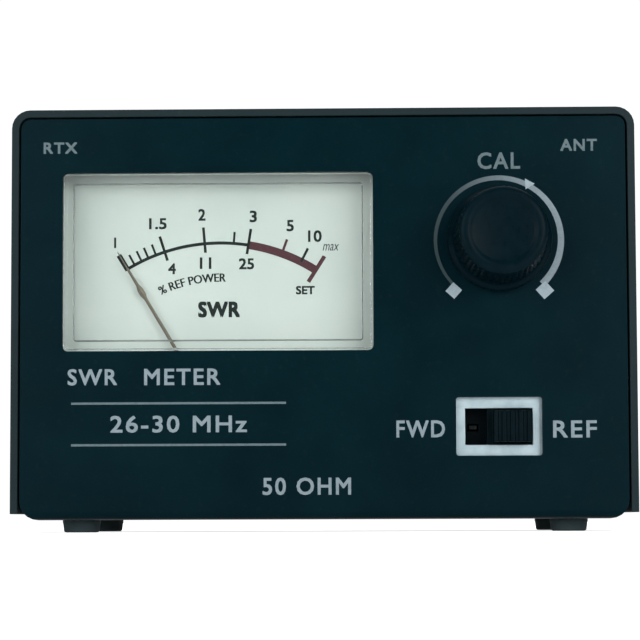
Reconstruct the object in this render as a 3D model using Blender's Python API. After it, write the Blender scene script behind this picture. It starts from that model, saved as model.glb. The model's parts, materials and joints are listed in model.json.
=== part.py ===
"""A small SWR meter for CB radio: a two-piece sheet-metal case holding a moving-coil meter, a calibration
control, a forward/reflected slide switch and a line coupler between two UHF sockets on the rear panel.

Metres, +X to the right of the front panel, +Y to the rear, +Z up. The origin lies on the surface under
the feet, in the middle of the whole object, and the case is centred over it.
"""

import math

import bmesh
import bpy

# Case: the chassis is the front, bottom and rear, and the cover is the top and sides around it.
CASE_WIDTH = 0.1008
CASE_DEPTH = 0.060
FOOT_HEIGHT = 0.002
CASE_HEIGHT = 0.0664
SHEET = 0.0012
GAP = 0.0003
COVER_RADIUS = 0.003
COVER_SKIRT = 0.001
CHASSIS_BEND = 0.0015
CHASSIS_LOWER_CORNER = 0.003
CASE_TOP = FOOT_HEIGHT + CASE_HEIGHT
FLOOR_TOP = FOOT_HEIGHT + SHEET
CHASSIS_HALF_WIDTH = CASE_WIDTH / 2 - SHEET - GAP
CHASSIS_UPPER_CORNER = COVER_RADIUS - SHEET - GAP
CHASSIS_TOP = CASE_TOP - SHEET - GAP
PANEL_FRONT = -CASE_DEPTH / 2 + GAP
PANEL_BACK = PANEL_FRONT + SHEET
REAR_OUTSIDE = -PANEL_FRONT
REAR_INSIDE = -PANEL_BACK

# Fixings of the case.
COVER_SCREW_Y = (-0.012, 0.016)
COVER_SCREW_Z = 0.0095
TAB_WIDTH = 0.010
TAB_TOP = 0.016
TAB_BOTTOM = FOOT_HEIGHT + SHEET / 2
SCREW_HEAD = 0.0027
COVER_SCREW_HEIGHT = 0.0010
COVER_SCREW_LENGTH = 0.0046
SCREW_SHANK = 0.0014
SCREW_HOLE = 0.0018
FOOT_X = 0.0398
FOOT_Y = (-0.021, 0.017)
FOOT_RADIUS = 0.0031
PEG_RADIUS = 0.0012
FOOT_DRAFT = 0.0002
FOOT_EDGE = 0.0004

# Meter: the window is where the lens stands through the panel, and the pivot is hidden below it.
WINDOW_WIDTH = 0.0502
WINDOW_HEIGHT = 0.0289
WINDOW_X = -0.0170
WINDOW_Z = 0.0436
WINDOW_CORNER = 0.0008
LENS_PROUD = 0.001
LENS_WALL = 0.0014
PIVOT_Z = 0.0179
HOUSING_WIDTH = 0.0554
HOUSING_BOTTOM = FLOOR_TOP + 2 * GAP
HOUSING_TOP = 0.0602
HOUSING_WALL = 0.0012
HOUSING_BACK = -0.008
LENS_FRONT = PANEL_FRONT - LENS_PROUD
LENS_FLANGE_FRONT = PANEL_BACK + GAP
LENS_FLANGE = 0.0015
LENS_BACK = LENS_FLANGE_FRONT + LENS_FLANGE
HOUSING_FRONT = LENS_BACK + GAP
HOUSING_INSIDE = HOUSING_BACK - HOUSING_WALL
SCALE_FRONT = -0.0226
SCALE_SHEET = 0.0006
SCALE_BOTTOM = 0.0242
POST_X = 0.020
POST_Z = 0.0263
POST_RADIUS = 0.0022
STAKE_RADIUS = 0.0008
STAKE_HOLE = 0.0011
POINTER_LENGTH = 0.0327
POINTER_TAIL = 0.0058
POINTER_REST = math.radians(-31)
POINTER_Y = -0.0240
STAFF_RADIUS = 0.0004
BRIDGE_FRONT = LENS_BACK + 0.0007
JEWEL_RADIUS = 0.0009
JEWEL_BACK = LENS_BACK + 0.0018
CORE_RADIUS = 0.0042
YOKE_INSIDE = 0.0066
YOKE_OUTSIDE = 0.0086
CORE_FRONT = -0.0213
CORE_BACK = -0.0133
TERMINAL_X = 0.012
TERMINAL_Z = 0.040
TERMINAL_HOLE = 0.0018
TERMINAL_LENGTH = 0.0080

# Calibration control.
KNOB_X = 0.0284
KNOB_Z = 0.0468
KNOB_BASE = 0.0084
KNOB_FACE = 0.0070
KNOB_FRONT = -0.0445
KNOB_END = 0.0022
KNOB_CLEARANCE = 0.0005
NUT_RECESS = 0.0066
SHAFT_RADIUS = 0.003
SHAFT_BACK = -0.0200
SHAFT_BORE = SHAFT_RADIUS + GAP
BUSHING_RADIUS = 0.0038
BUSHING_HOLE = 0.0042
BUSHING_END = -0.0339
POT_RADIUS = 0.0084
POT_BACK = -0.0176
POT_WALL = 0.0005
POT_LUG_BOTTOM = 0.014
LUG_PITCH = 0.004

# Slide switch.
SWITCH_X = 0.0282
SWITCH_Z = 0.0168
SWITCH_WINDOW = (0.0138, 0.0094)
SWITCH_PLATE = (0.018, 0.0116)
SWITCH_CAN = (0.0138, 0.0094)
SWITCH_MOUTH = (0.0108, 0.0058)
SWITCH_SHEET = 0.0005
SWITCH_BACK = -0.0215
SLIDER_TOP = (0.006, 0.0050)
SLIDER_BASE = (0.008, 0.0074)
SLIDER_BASE_DEPTH = 0.0016
CONTACT_BAR = (0.0066, 0.0014)
CONTACT_SHEET = 0.0006
SLIDER_FRONT = -0.0312
SLIDER_REST = 0.0021
SWITCH_PITCH = 0.004

# UHF sockets and the line coupler between them.
SOCKET_X = 0.030
SOCKET_Z = 0.036
SOCKET_MOUTH = 0.0445
SOCKET_RADIUS = 0.00794
SOCKET_BORE = 0.0063
SOCKET_NECK = 0.0050
FLANGE_WIDTH = 0.0254
FLANGE_HOLES = 0.0183
FLANGE_THICKNESS = 0.0016
SOCKET_SCREW_HEIGHT = 0.0016
SOCKET_SCREW_LENGTH = 0.0060
DIELECTRIC_FACE = 0.0370
SOCKET_HOLE = 0.006
PIN_RADIUS = 0.0026
PIN_BORE = 0.002
PIN_TAIL = 0.0017
BOARD_BACK = 0.0236
BOARD_THICKNESS = 0.0016
BOARD_SIZE = (0.078, 0.024)
DIODE_X = 0.012
DIODE_UP = 0.007
CAPACITOR_X = 0.0228
WIRE_RADIUS = 0.0005

# Sides of round pieces, and the points along each stretch of a wire.
ROUND = 28
MIDDLE_ROUND = 20
SMALL_ROUND = 12
WIRE_STEPS = 3


def material(name, colour, roughness, metallic=0.0):
    """A Principled BSDF of one colour."""
    made = bpy.data.materials.new(name)
    made.use_nodes = True
    shader = made.node_tree.nodes["Principled BSDF"]
    shader.inputs["Base Color"].default_value = (*colour, 1)
    shader.inputs["Roughness"].default_value = roughness
    shader.inputs["Metallic"].default_value = metallic
    return made


def clear_scene():
    for old in list(bpy.data.objects):
        bpy.data.objects.remove(old, do_unlink=True)


clear_scene()

PAINT = material("painted_steel", (0.008, 0.022, 0.030), 0.5)
COVER_PAINT = material("cover_paint", (0.030, 0.042, 0.048), 0.5)
RUBBER = material("black_rubber", (0.010, 0.010, 0.010), 0.85)
KNOB_PLASTIC = material("black_plastic", (0.010, 0.011, 0.012), 0.35)
CLEAR = material("clear_acrylic", (0.90, 0.92, 0.90), 0.05)
CARD = material("dial_paint", (0.80, 0.80, 0.72), 0.6)
RED = material("pointer_red", (0.30, 0.04, 0.02), 0.5)
ZINC = material("zinc_plate", (0.60, 0.60, 0.62), 0.3, 1.0)
NICKEL = material("nickel_plate", (0.62, 0.60, 0.56), 0.25, 1.0)
BRASS = material("brass", (0.65, 0.48, 0.20), 0.3, 1.0)
COPPER = material("copper_wire", (0.70, 0.30, 0.15), 0.35, 1.0)
IRON = material("dark_iron", (0.12, 0.12, 0.13), 0.5, 1.0)
DIELECTRIC = material("white_dielectric", (0.80, 0.79, 0.75), 0.5)
LAMINATE = material("brown_laminate", (0.35, 0.20, 0.08), 0.6)
DIODE_GLASS = material("diode_glass", (0.55, 0.25, 0.12), 0.2)
CERAMIC = material("ceramic_body", (0.55, 0.40, 0.25), 0.5)
WIRE_RED = material("red_insulation", (0.45, 0.02, 0.02), 0.45)


# ---------------------------------------------------------------- shapes

AXES = {
    "X": lambda u, v, w: (w, u, v),
    "Y": lambda u, v, w: (u, w, v),
    "Z": lambda u, v, w: (u, v, w),
}


def arc(centre, radius, start, end, steps):
    """Points from one angle to another, both in degrees, with both ends."""
    angles = [math.radians(start + (end - start) * step / steps) for step in range(steps + 1)]
    return [(centre[0] + radius * math.cos(a), centre[1] + radius * math.sin(a)) for a in angles]


def circle(radius, sides=SMALL_ROUND, centre=(0, 0)):
    return arc(centre, radius, 0, 360, sides)[:-1]


def rectangle(width, height, centre=(0, 0), radius=0.0, steps=3):
    """A rectangle, counter-clockwise, with round corners where radius isn't zero."""
    x, y = centre
    right, top = width / 2 - radius, height / 2 - radius
    corners = [(right, -top, -90), (right, top, 0), (-right, top, 90), (-right, -top, 180)]
    if not radius:
        return [(x + across, y + up) for across, up, _ in corners]
    points = []
    for across, up, start in corners:
        points += arc((x + across, y + up), radius, start, start + 90, steps)
    return points


def add_prism(mesh, outline, low, high, axis="Y"):
    """Adds an outline, drawn across the axis, that runs along the axis from low to high."""
    place = AXES[axis]
    ends = [[mesh.verts.new(place(u, v, w)) for u, v in outline] for w in (low, high)]
    for end in ends:
        mesh.faces.new(end)
    for here in range(len(outline)):
        beyond = (here + 1) % len(outline)
        mesh.faces.new((ends[0][here], ends[0][beyond], ends[1][beyond], ends[1][here]))


def add_turned(mesh, profile, sides, ring=False):
    """Adds a profile of (radius, height) points turned about Z. A ring's profile closes on itself."""
    points = [mesh.verts.new((radius, 0, height)) for radius, height in profile]
    pairs = list(zip(points, points[1:]))
    if ring:
        pairs.append((points[-1], points[0]))
    edges = [mesh.edges.new(pair) for pair in pairs]
    bmesh.ops.spin(
        mesh, geom=points + edges, axis=(0, 0, 1), cent=(0, 0, 0), angle=math.tau, steps=sides, use_merge=True
    )
    bmesh.ops.remove_doubles(mesh, verts=mesh.verts, dist=1e-7)


def finished(name, mesh, finish, at=(0, 0, 0), turn=(0, 0, 0), parent=None):
    """Makes an object of the mesh, with its faces pointing out and its round faces smooth."""
    bmesh.ops.recalc_face_normals(mesh, faces=mesh.faces)
    data = bpy.data.meshes.new(name)
    mesh.to_mesh(data)
    mesh.free()
    data.shade_smooth()
    data.set_sharp_from_angle(angle=math.radians(30))
    if finish:
        data.materials.append(finish)
    made = bpy.data.objects.new(name, data)
    made.location = at
    made.rotation_euler = turn
    made.parent = parent
    bpy.context.scene.collection.objects.link(made)
    return made


def prisms(name, shapes, finish, axis="Y", **placing):
    """An object of one or more prisms, each given as (outline, low, high)."""
    mesh = bmesh.new()
    for outline, low, high in shapes:
        add_prism(mesh, outline, low, high, axis)
    return finished(name, mesh, finish, **placing)


def turned(name, profile, finish, sides=ROUND, ring=False, **placing):
    mesh = bmesh.new()
    add_turned(mesh, profile, sides, ring)
    return finished(name, mesh, finish, **placing)


def combine(target, tool, operation):
    """Adds, cuts or intersects with a helper object, which is not part of the model."""
    tool.hide_render = True
    tool.display_type = "WIRE"
    change = target.modifiers.new(f"{operation.lower()}_{tool.name}", "BOOLEAN")
    change.operation = operation
    change.object = tool
    return target


def axis_empty(name, at, turn=(0, 0, 0)):
    """An empty on a joint's axis, which carries the pieces that move on it."""
    made = bpy.data.objects.new(name, None)
    made.location = at
    made.rotation_euler = turn
    bpy.context.scene.collection.objects.link(made)
    return made


FACING_FRONT = (math.pi / 2, 0, 0)
FACING_REAR = (-math.pi / 2, 0, 0)
FACING_LEFT = (0, -math.pi / 2, 0)
FACING_RIGHT = (0, math.pi / 2, 0)
FACING_DOWN = (math.pi, 0, 0)


# ---------------------------------------------------------------- case

def socket_hole_places():
    """Centres of the flange holes that carry a screw, and of those that stay empty, in X and Z."""
    half = FLANGE_HOLES / 2
    used, spare = [], []
    for x in (-SOCKET_X, SOCKET_X):
        used += [(x - half, SOCKET_Z + half), (x + half, SOCKET_Z - half)]
        spare += [(x + half, SOCKET_Z + half), (x - half, SOCKET_Z - half)]
    return used, spare


def chassis_front_view():
    """The outline of the panel: its lower corners are rounder than the upper ones, which fit the cover."""
    half, low, high = CHASSIS_HALF_WIDTH, CHASSIS_LOWER_CORNER, CHASSIS_UPPER_CORNER
    outline = arc((half - low, FOOT_HEIGHT + low), low, -90, 0, 5)
    outline += arc((half - high, CHASSIS_TOP - high), high, 0, 90, 3)
    outline += arc((high - half, CHASSIS_TOP - high), high, 90, 180, 3)
    outline += arc((low - half, FOOT_HEIGHT + low), low, 180, 270, 5)
    return outline


def chassis():
    outer, inner = CHASSIS_BEND, CHASSIS_BEND - SHEET
    front_bend = (PANEL_FRONT + outer, FOOT_HEIGHT + outer)
    rear_bend = (REAR_OUTSIDE - outer, FOOT_HEIGHT + outer)
    profile = [(PANEL_FRONT, CHASSIS_TOP)]
    profile += arc(front_bend, outer, 180, 270, 4)
    profile += arc(rear_bend, outer, 270, 360, 4)
    profile += [(REAR_OUTSIDE, CHASSIS_TOP), (REAR_INSIDE, CHASSIS_TOP)]
    profile += arc(rear_bend, inner, 360, 270, 2)
    profile += arc(front_bend, inner, 270, 180, 2)
    profile += [(PANEL_BACK, CHASSIS_TOP)]
    wide = CHASSIS_HALF_WIDTH + SHEET
    shell = prisms("chassis", [(profile, -wide, wide)], PAINT, axis="X")

    tabs = []
    for y in COVER_SCREW_Y:
        outline = rectangle(TAB_WIDTH, TAB_TOP - TAB_BOTTOM, (y, (TAB_TOP + TAB_BOTTOM) / 2))
        for side in (-1, 1):
            inside = side * (CHASSIS_HALF_WIDTH - SHEET)
            tabs.append((outline, min(inside, side * wide), max(inside, side * wide)))
    combine(shell, prisms("chassis_tabs", tabs, None, axis="X"), "UNION")

    trim = prisms("chassis_outline", [(chassis_front_view(), -CASE_DEPTH, CASE_DEPTH)], None)
    combine(shell, trim, "INTERSECT")

    through_front = (PANEL_FRONT - SHEET, PANEL_BACK + SHEET)
    through_rear = (REAR_INSIDE - SHEET, REAR_OUTSIDE + SHEET)
    window = rectangle(WINDOW_WIDTH, WINDOW_HEIGHT, (WINDOW_X, WINDOW_Z), WINDOW_CORNER)
    openings = [
        (window, *through_front),
        (circle(BUSHING_HOLE, centre=(KNOB_X, KNOB_Z)), *through_front),
        (rectangle(*SWITCH_WINDOW, (SWITCH_X, SWITCH_Z), WINDOW_CORNER / 2), *through_front),
    ]
    for x in (-SOCKET_X, SOCKET_X):
        openings.append((circle(SOCKET_HOLE, MIDDLE_ROUND, centre=(x, SOCKET_Z)), *through_rear))
    used, _ = socket_hole_places()
    openings += [(circle(SCREW_HOLE, 10, centre=place), *through_rear) for place in used]
    combine(shell, prisms("panel_cutouts", openings, None), "DIFFERENCE")

    pegs = [
        (circle(PEG_RADIUS + GAP, 10, centre=(x, y)), FOOT_HEIGHT - SHEET, FLOOR_TOP + SHEET)
        for x in (-FOOT_X, FOOT_X)
        for y in FOOT_Y
    ]
    combine(shell, prisms("foot_holes", pegs, None, axis="Z"), "DIFFERENCE")
    combine(shell, cover_screw_holes("tab_holes"), "DIFFERENCE")


def cover_screw_holes(name):
    """Helper that cuts the side screw holes, right through from one side of the case to the other."""
    holes = [
        (circle(SCREW_HOLE, 12, centre=(y, COVER_SCREW_Z)), -CASE_WIDTH, CASE_WIDTH) for y in COVER_SCREW_Y
    ]
    return prisms(name, holes, None, axis="X")


def cover():
    half = CASE_WIDTH / 2
    bottom = FOOT_HEIGHT + COVER_SKIRT
    centre_x, centre_z = half - COVER_RADIUS, CASE_TOP - COVER_RADIUS
    inner = COVER_RADIUS - SHEET
    outline = [(half, bottom)]
    outline += arc((centre_x, centre_z), COVER_RADIUS, 0, 90, 6)
    outline += arc((-centre_x, centre_z), COVER_RADIUS, 90, 180, 6)
    outline += [(-half, bottom), (-half + SHEET, bottom)]
    outline += arc((-centre_x, centre_z), inner, 180, 90, 4)
    outline += arc((centre_x, centre_z), inner, 90, 0, 4)
    outline += [(half - SHEET, bottom)]
    shell = prisms("cover", [(outline, -CASE_DEPTH / 2, CASE_DEPTH / 2)], COVER_PAINT)
    combine(shell, cover_screw_holes("cover_screw_holes"), "DIFFERENCE")


def screw_profile(head_radius, head_height, shank_radius, shank_length):
    """A pan-head screw about Z, its head's underside at zero and its tip below."""
    return [
        (0, head_height),
        (head_radius * 0.62, head_height),
        (head_radius * 0.9, head_height * 0.75),
        (head_radius, head_height * 0.3),
        (head_radius, 0),
        (shank_radius, 0),
        (shank_radius, -shank_length + shank_radius),
        (0, -shank_length),
    ]


def cover_screws():
    profile = screw_profile(SCREW_HEAD, COVER_SCREW_HEIGHT, SCREW_SHANK, COVER_SCREW_LENGTH)
    seat = CASE_WIDTH / 2 + GAP
    for side, sign, facing in (("left", -1, FACING_LEFT), ("right", 1, FACING_RIGHT)):
        for end, y in zip(("front", "rear"), COVER_SCREW_Y):
            place = (sign * seat, y, COVER_SCREW_Z)
            turned(f"cover_screw_{side}_{end}", profile, ZINC, SMALL_ROUND, at=place, turn=facing)


def feet():
    """Rubber feet, each with a peg in a hole of the chassis floor."""
    seat = FOOT_HEIGHT - GAP
    profile = [
        (0, seat),
        (FOOT_RADIUS - FOOT_DRAFT - FOOT_EDGE, seat),
        (FOOT_RADIUS - FOOT_DRAFT, seat - FOOT_EDGE),
        (FOOT_RADIUS, 0),
        (PEG_RADIUS, 0),
        (PEG_RADIUS, -SHEET - GAP / 2),
        (0, -SHEET - GAP / 2),
    ]
    for side, x in (("left", -FOOT_X), ("right", FOOT_X)):
        for end, y in zip(("front", "rear"), FOOT_Y):
            turned(f"foot_{side}_{end}", profile, RUBBER, MIDDLE_ROUND, at=(x, y, seat), turn=FACING_DOWN)


# ---------------------------------------------------------------- meter

HOUSING_HEIGHT = HOUSING_TOP - HOUSING_BOTTOM
HOUSING_CENTRE = (WINDOW_X, (HOUSING_TOP + HOUSING_BOTTOM) / 2)
HOUSING_RADIUS = 0.002


def meter_lens():
    """A clear cap: its flange lies behind the panel, and its hollow block stands through the window."""
    block = (WINDOW_WIDTH - 2 * GAP, WINDOW_HEIGHT - 2 * GAP)
    hollow = (block[0] - 2 * LENS_WALL, block[1] - 2 * LENS_WALL)
    centre = (WINDOW_X, WINDOW_Z)
    flange = rectangle(HOUSING_WIDTH, HOUSING_HEIGHT, HOUSING_CENTRE, HOUSING_RADIUS)
    lens = prisms("meter_lens", [(flange, LENS_FLANGE_FRONT, LENS_BACK)], CLEAR)
    raised = (rectangle(*block, centre, WINDOW_CORNER - GAP / 2), LENS_FRONT, LENS_BACK - LENS_FLANGE / 2)
    combine(lens, prisms("lens_block", [raised], None), "UNION")
    inside = (rectangle(*hollow, centre, WINDOW_CORNER / 2), LENS_FRONT + LENS_WALL, LENS_BACK + SHEET)
    combine(lens, prisms("lens_hollow", [inside], None), "DIFFERENCE")


def meter_housing():
    """A deep tray, open to the lens, with two posts for the scale and holes for the terminals."""
    shell = rectangle(HOUSING_WIDTH, HOUSING_HEIGHT, HOUSING_CENTRE, HOUSING_RADIUS)
    housing = prisms("meter_housing", [(shell, HOUSING_FRONT, HOUSING_BACK)], KNOB_PLASTIC)
    wall = 2 * HOUSING_WALL
    inside = rectangle(HOUSING_WIDTH - wall, HOUSING_HEIGHT - wall, HOUSING_CENTRE, HOUSING_WALL)
    hollow = prisms("housing_hollow", [(inside, LENS_FLANGE_FRONT, HOUSING_INSIDE)], None)
    combine(housing, hollow, "DIFFERENCE")
    posts, stakes, holes = [], [], []
    scale_back = SCALE_FRONT + SCALE_SHEET
    for side in (-1, 1):
        place = (WINDOW_X + side * POST_X, POST_Z)
        posts.append((circle(POST_RADIUS, 12, place), scale_back + GAP, HOUSING_INSIDE + HOUSING_WALL / 2))
        stakes.append((circle(STAKE_RADIUS, 8, place), SCALE_FRONT - GAP, scale_back + POST_RADIUS))
        hole = circle(TERMINAL_HOLE, 12, (WINDOW_X + side * TERMINAL_X, TERMINAL_Z))
        holes.append((hole, HOUSING_INSIDE - SHEET, HOUSING_BACK + SHEET))
    combine(housing, prisms("scale_posts", posts, None), "UNION")
    combine(housing, prisms("scale_stakes", stakes, None), "UNION")
    combine(housing, prisms("terminal_holes", holes, None), "DIFFERENCE")


def scale_plate():
    width = HOUSING_WIDTH - 2 * HOUSING_WALL - 2 * GAP
    top = HOUSING_TOP - HOUSING_WALL - GAP
    outline = rectangle(width, top - SCALE_BOTTOM, (WINDOW_X, (top + SCALE_BOTTOM) / 2), HOUSING_WALL)
    plate = prisms("scale_plate", [(outline, SCALE_FRONT, SCALE_FRONT + SCALE_SHEET)], CARD)
    holes = []
    for side in (-1, 1):
        hole = circle(STAKE_HOLE, 8, (WINDOW_X + side * POST_X, POST_Z))
        holes.append((hole, SCALE_FRONT - SHEET, SCALE_FRONT + 2 * SHEET))
    combine(plate, prisms("stake_holes", holes, None), "DIFFERENCE")


def movement_frame():
    """A plate behind the coil, with two arms that hold the core, clear of the coil's swing."""
    centre = (WINDOW_X, PIVOT_Z)
    back = HOUSING_INSIDE - GAP
    plate_front = back - SHEET
    frame = prisms("movement_frame", [(circle(YOKE_OUTSIDE, ROUND, centre), plate_front, back)], ZINC)
    arm_width, arm_gap = 0.0026, 0.0005
    thickness = YOKE_INSIDE - CORE_RADIUS - 2 * arm_gap
    middle = (YOKE_INSIDE + CORE_RADIUS) / 2
    arms = []
    for side in (-1, 1):
        arm = rectangle(arm_width, thickness, (WINDOW_X, PIVOT_Z + side * middle))
        arms.append((arm, CORE_FRONT, back - SHEET / 2))
    combine(frame, prisms("core_arms", arms, None), "UNION")
    bearing = (circle(STAFF_RADIUS + GAP, 10, centre), plate_front - SHEET, back + SHEET)
    combine(frame, prisms("rear_bearing_hole", [bearing], None), "DIFFERENCE")


def front_bridge():
    """A strap across the front of the yoke, on two legs, which carries the front bearing."""
    reach = (YOKE_INSIDE + YOKE_OUTSIDE) / 2
    strap_sheet, strap_width, leg_thickness, leg_width = 0.0008, 0.0036, 0.0014, 0.0030
    strap_back = BRIDGE_FRONT + strap_sheet
    strap = rectangle(2 * reach + 2 * strap_sheet, strap_width, (WINDOW_X, PIVOT_Z))
    bridge = prisms("front_bridge", [(strap, BRIDGE_FRONT, strap_back)], ZINC)
    legs = []
    for side in (-1, 1):
        leg = rectangle(leg_thickness, leg_width, (WINDOW_X + side * reach, PIVOT_Z))
        legs.append((leg, BRIDGE_FRONT + strap_sheet / 2, CORE_FRONT - GAP))
    combine(bridge, prisms("bridge_legs", legs, None), "UNION")
    bearing = (circle(JEWEL_RADIUS + GAP, 12, (WINDOW_X, PIVOT_Z)), BRIDGE_FRONT - SHEET, strap_back + SHEET)
    combine(bridge, prisms("front_bearing_hole", [bearing], None), "DIFFERENCE")


def magnet():
    length = CORE_BACK - CORE_FRONT
    place = (WINDOW_X, CORE_BACK, PIVOT_Z)
    core = [(0, length), (CORE_RADIUS, length), (CORE_RADIUS, 0), (0, 0)]
    turned("magnet_core", core, IRON, MIDDLE_ROUND, at=place, turn=FACING_FRONT)
    ring = [(YOKE_INSIDE, 0), (YOKE_INSIDE, length), (YOKE_OUTSIDE, length), (YOKE_OUTSIDE, 0)]
    turned("yoke_ring", ring, IRON, ROUND, ring=True, at=place, turn=FACING_FRONT)


def bearing_screw():
    """The front jewel screw, with a cup for the end of the staff."""
    length = JEWEL_BACK - LENS_BACK - 0.0004
    cup_radius, cup_depth = STAFF_RADIUS + 0.0002, 0.0004
    profile = [
        (0, length),
        (JEWEL_RADIUS, length),
        (JEWEL_RADIUS, 0),
        (cup_radius, 0),
        (cup_radius, cup_depth),
        (0, cup_depth),
    ]
    turned("jewel_screw", profile, BRASS, 12, at=(WINDOW_X, JEWEL_BACK, PIVOT_Z), turn=FACING_FRONT)


def coil_and_staff(axis):
    """The coil passes in front of the core, behind it and down both sides, with a staff at each end."""
    gap = 0.0005
    front, back = CORE_FRONT - gap, CORE_BACK + gap
    side, winding, width = 0.0049, 0.0008, 0.0016
    outside = rectangle(2 * (side + winding), back - front + 2 * winding, (0, (front + back) / 2))
    coil = prisms("moving_coil", [(outside, -width / 2, width / 2)], COPPER, axis="Z", parent=axis)
    inside = rectangle(2 * side, back - front, (0, (front + back) / 2))
    hollow = prisms("coil_hollow", [(inside, -width, width)], None, axis="Z", parent=axis)
    combine(coil, hollow, "DIFFERENCE")
    cup_overlap = 0.0002
    staff_back = HOUSING_INSIDE - GAP - SHEET / 2
    ends = [
        (circle(STAFF_RADIUS, 8), JEWEL_BACK - cup_overlap, front - winding / 2),
        (circle(STAFF_RADIUS, 8), back + winding / 2, staff_back),
    ]
    combine(coil, prisms("staff", ends, None, parent=axis), "UNION")


def pointer(axis):
    """A tapered blade with a tail for balance, on a hub around the staff. It is drawn pointing up."""
    root, tip, tail = 0.0004, 0.0002, 0.0007
    blade = [
        (root, 0),
        (tip, POINTER_LENGTH - tip),
        (0, POINTER_LENGTH),
        (-tip, POINTER_LENGTH - tip),
        (-root, 0),
        (-tail, -POINTER_TAIL),
        (tail, -POINTER_TAIL),
    ]
    thickness, hub_radius, hub_length = 0.0003, 0.0015, 0.0008
    shape = [(blade, POINTER_Y - thickness / 2, POINTER_Y + thickness / 2)]
    needle = prisms("pointer", shape, RED, parent=axis)
    hub = [(circle(hub_radius), POINTER_Y - hub_length / 2, POINTER_Y + hub_length / 2)]
    combine(needle, prisms("pointer_hub", hub, None, parent=axis), "UNION")
    bore = [(circle(STAFF_RADIUS + GAP, 10), POINTER_Y - SHEET, POINTER_Y + SHEET)]
    combine(needle, prisms("pointer_bore", bore, None, parent=axis), "DIFFERENCE")


def hairspring(axis):
    """A flat spiral strip between the hub and the coil."""
    start, end, turns, steps = 0.0010, 0.0040, 2.5, 30
    half, depth, behind_pointer = 0.0001, 0.0004, 0.0007
    outer, inner = [], []
    for step in range(steps + 1):
        angle = math.tau * turns * step / steps
        radius = start + (end - start) * step / steps
        for line, across in ((outer, radius + half), (inner, radius - half)):
            line.append((across * math.cos(angle), across * math.sin(angle)))
    front = POINTER_Y + behind_pointer
    spiral = [(outer + inner[::-1], front, front + depth)]
    prisms("hairspring", spiral, BRASS, parent=axis)


def meter_terminals():
    head, head_radius, shank, shank_radius = 0.0017, 0.0024, TERMINAL_LENGTH, 0.0015
    profile = [
        (0, head),
        (head_radius, head),
        (head_radius, 0),
        (shank_radius, 0),
        (shank_radius, -shank),
        (0, -shank),
    ]
    for name, side in (("negative", -1), ("positive", 1)):
        place = (WINDOW_X + side * TERMINAL_X, HOUSING_INSIDE - GAP, TERMINAL_Z)
        turned(f"meter_terminal_{name}", profile, BRASS, 12, at=place, turn=FACING_FRONT)


def meter():
    meter_lens()
    meter_housing()
    scale_plate()
    movement_frame()
    front_bridge()
    magnet()
    bearing_screw()
    axis = axis_empty("pointer_axis", (WINDOW_X, 0, PIVOT_Z), (0, POINTER_REST, 0))
    coil_and_staff(axis)
    pointer(axis)
    hairspring(axis)
    meter_terminals()


# ---------------------------------------------------------------- calibration control

def knob(axis):
    """Hollow behind for the fixing nut, with a blind bore for the shaft. Heights run from its back."""
    length = PANEL_FRONT - KNOB_CLEARANCE - KNOB_FRONT
    recess = PANEL_FRONT - KNOB_CLEARANCE - BUSHING_END + GAP
    bore_end = length - KNOB_END
    edge, draft, skirt, step = 0.0006, 0.0005, 0.0026, 0.0008
    profile = [
        (0, length),
        (KNOB_FACE - edge, length),
        (KNOB_FACE, length - edge),
        (KNOB_FACE + draft, skirt + step),
        (KNOB_BASE, skirt),
        (KNOB_BASE, 0),
        (NUT_RECESS, 0),
        (NUT_RECESS, recess),
        (SHAFT_BORE, recess),
        (SHAFT_BORE, bore_end),
        (0, bore_end),
    ]
    place = (0, PANEL_FRONT - KNOB_CLEARANCE, 0)
    turned("cal_knob", profile, KNOB_PLASTIC, 40, at=place, turn=FACING_FRONT, parent=axis)


def shaft(axis):
    length = SHAFT_BACK - KNOB_FRONT - KNOB_END - GAP
    profile = [(0, length), (SHAFT_RADIUS, length), (SHAFT_RADIUS, 0), (0, 0)]
    turned("pot_shaft", profile, ZINC, MIDDLE_ROUND, at=(0, SHAFT_BACK, 0), turn=FACING_FRONT, parent=axis)


def wiper(axis):
    front, back, inset = -0.0244, -0.0234, 0.0002
    disc_radius, arm_width, arm_length = 0.0048, 0.0020, 0.0068
    arm = rectangle(arm_width, arm_length, (0, arm_length / 2))
    part = prisms("pot_wiper", [(circle(disc_radius), front, back)], BRASS, parent=axis)
    combine(part, prisms("wiper_arm", [(arm, front + inset, back - inset)], None, parent=axis), "UNION")
    bore = [(circle(SHAFT_BORE), front - SHEET, back + SHEET)]
    combine(part, prisms("wiper_bore", bore, None, parent=axis), "DIFFERENCE")


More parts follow.
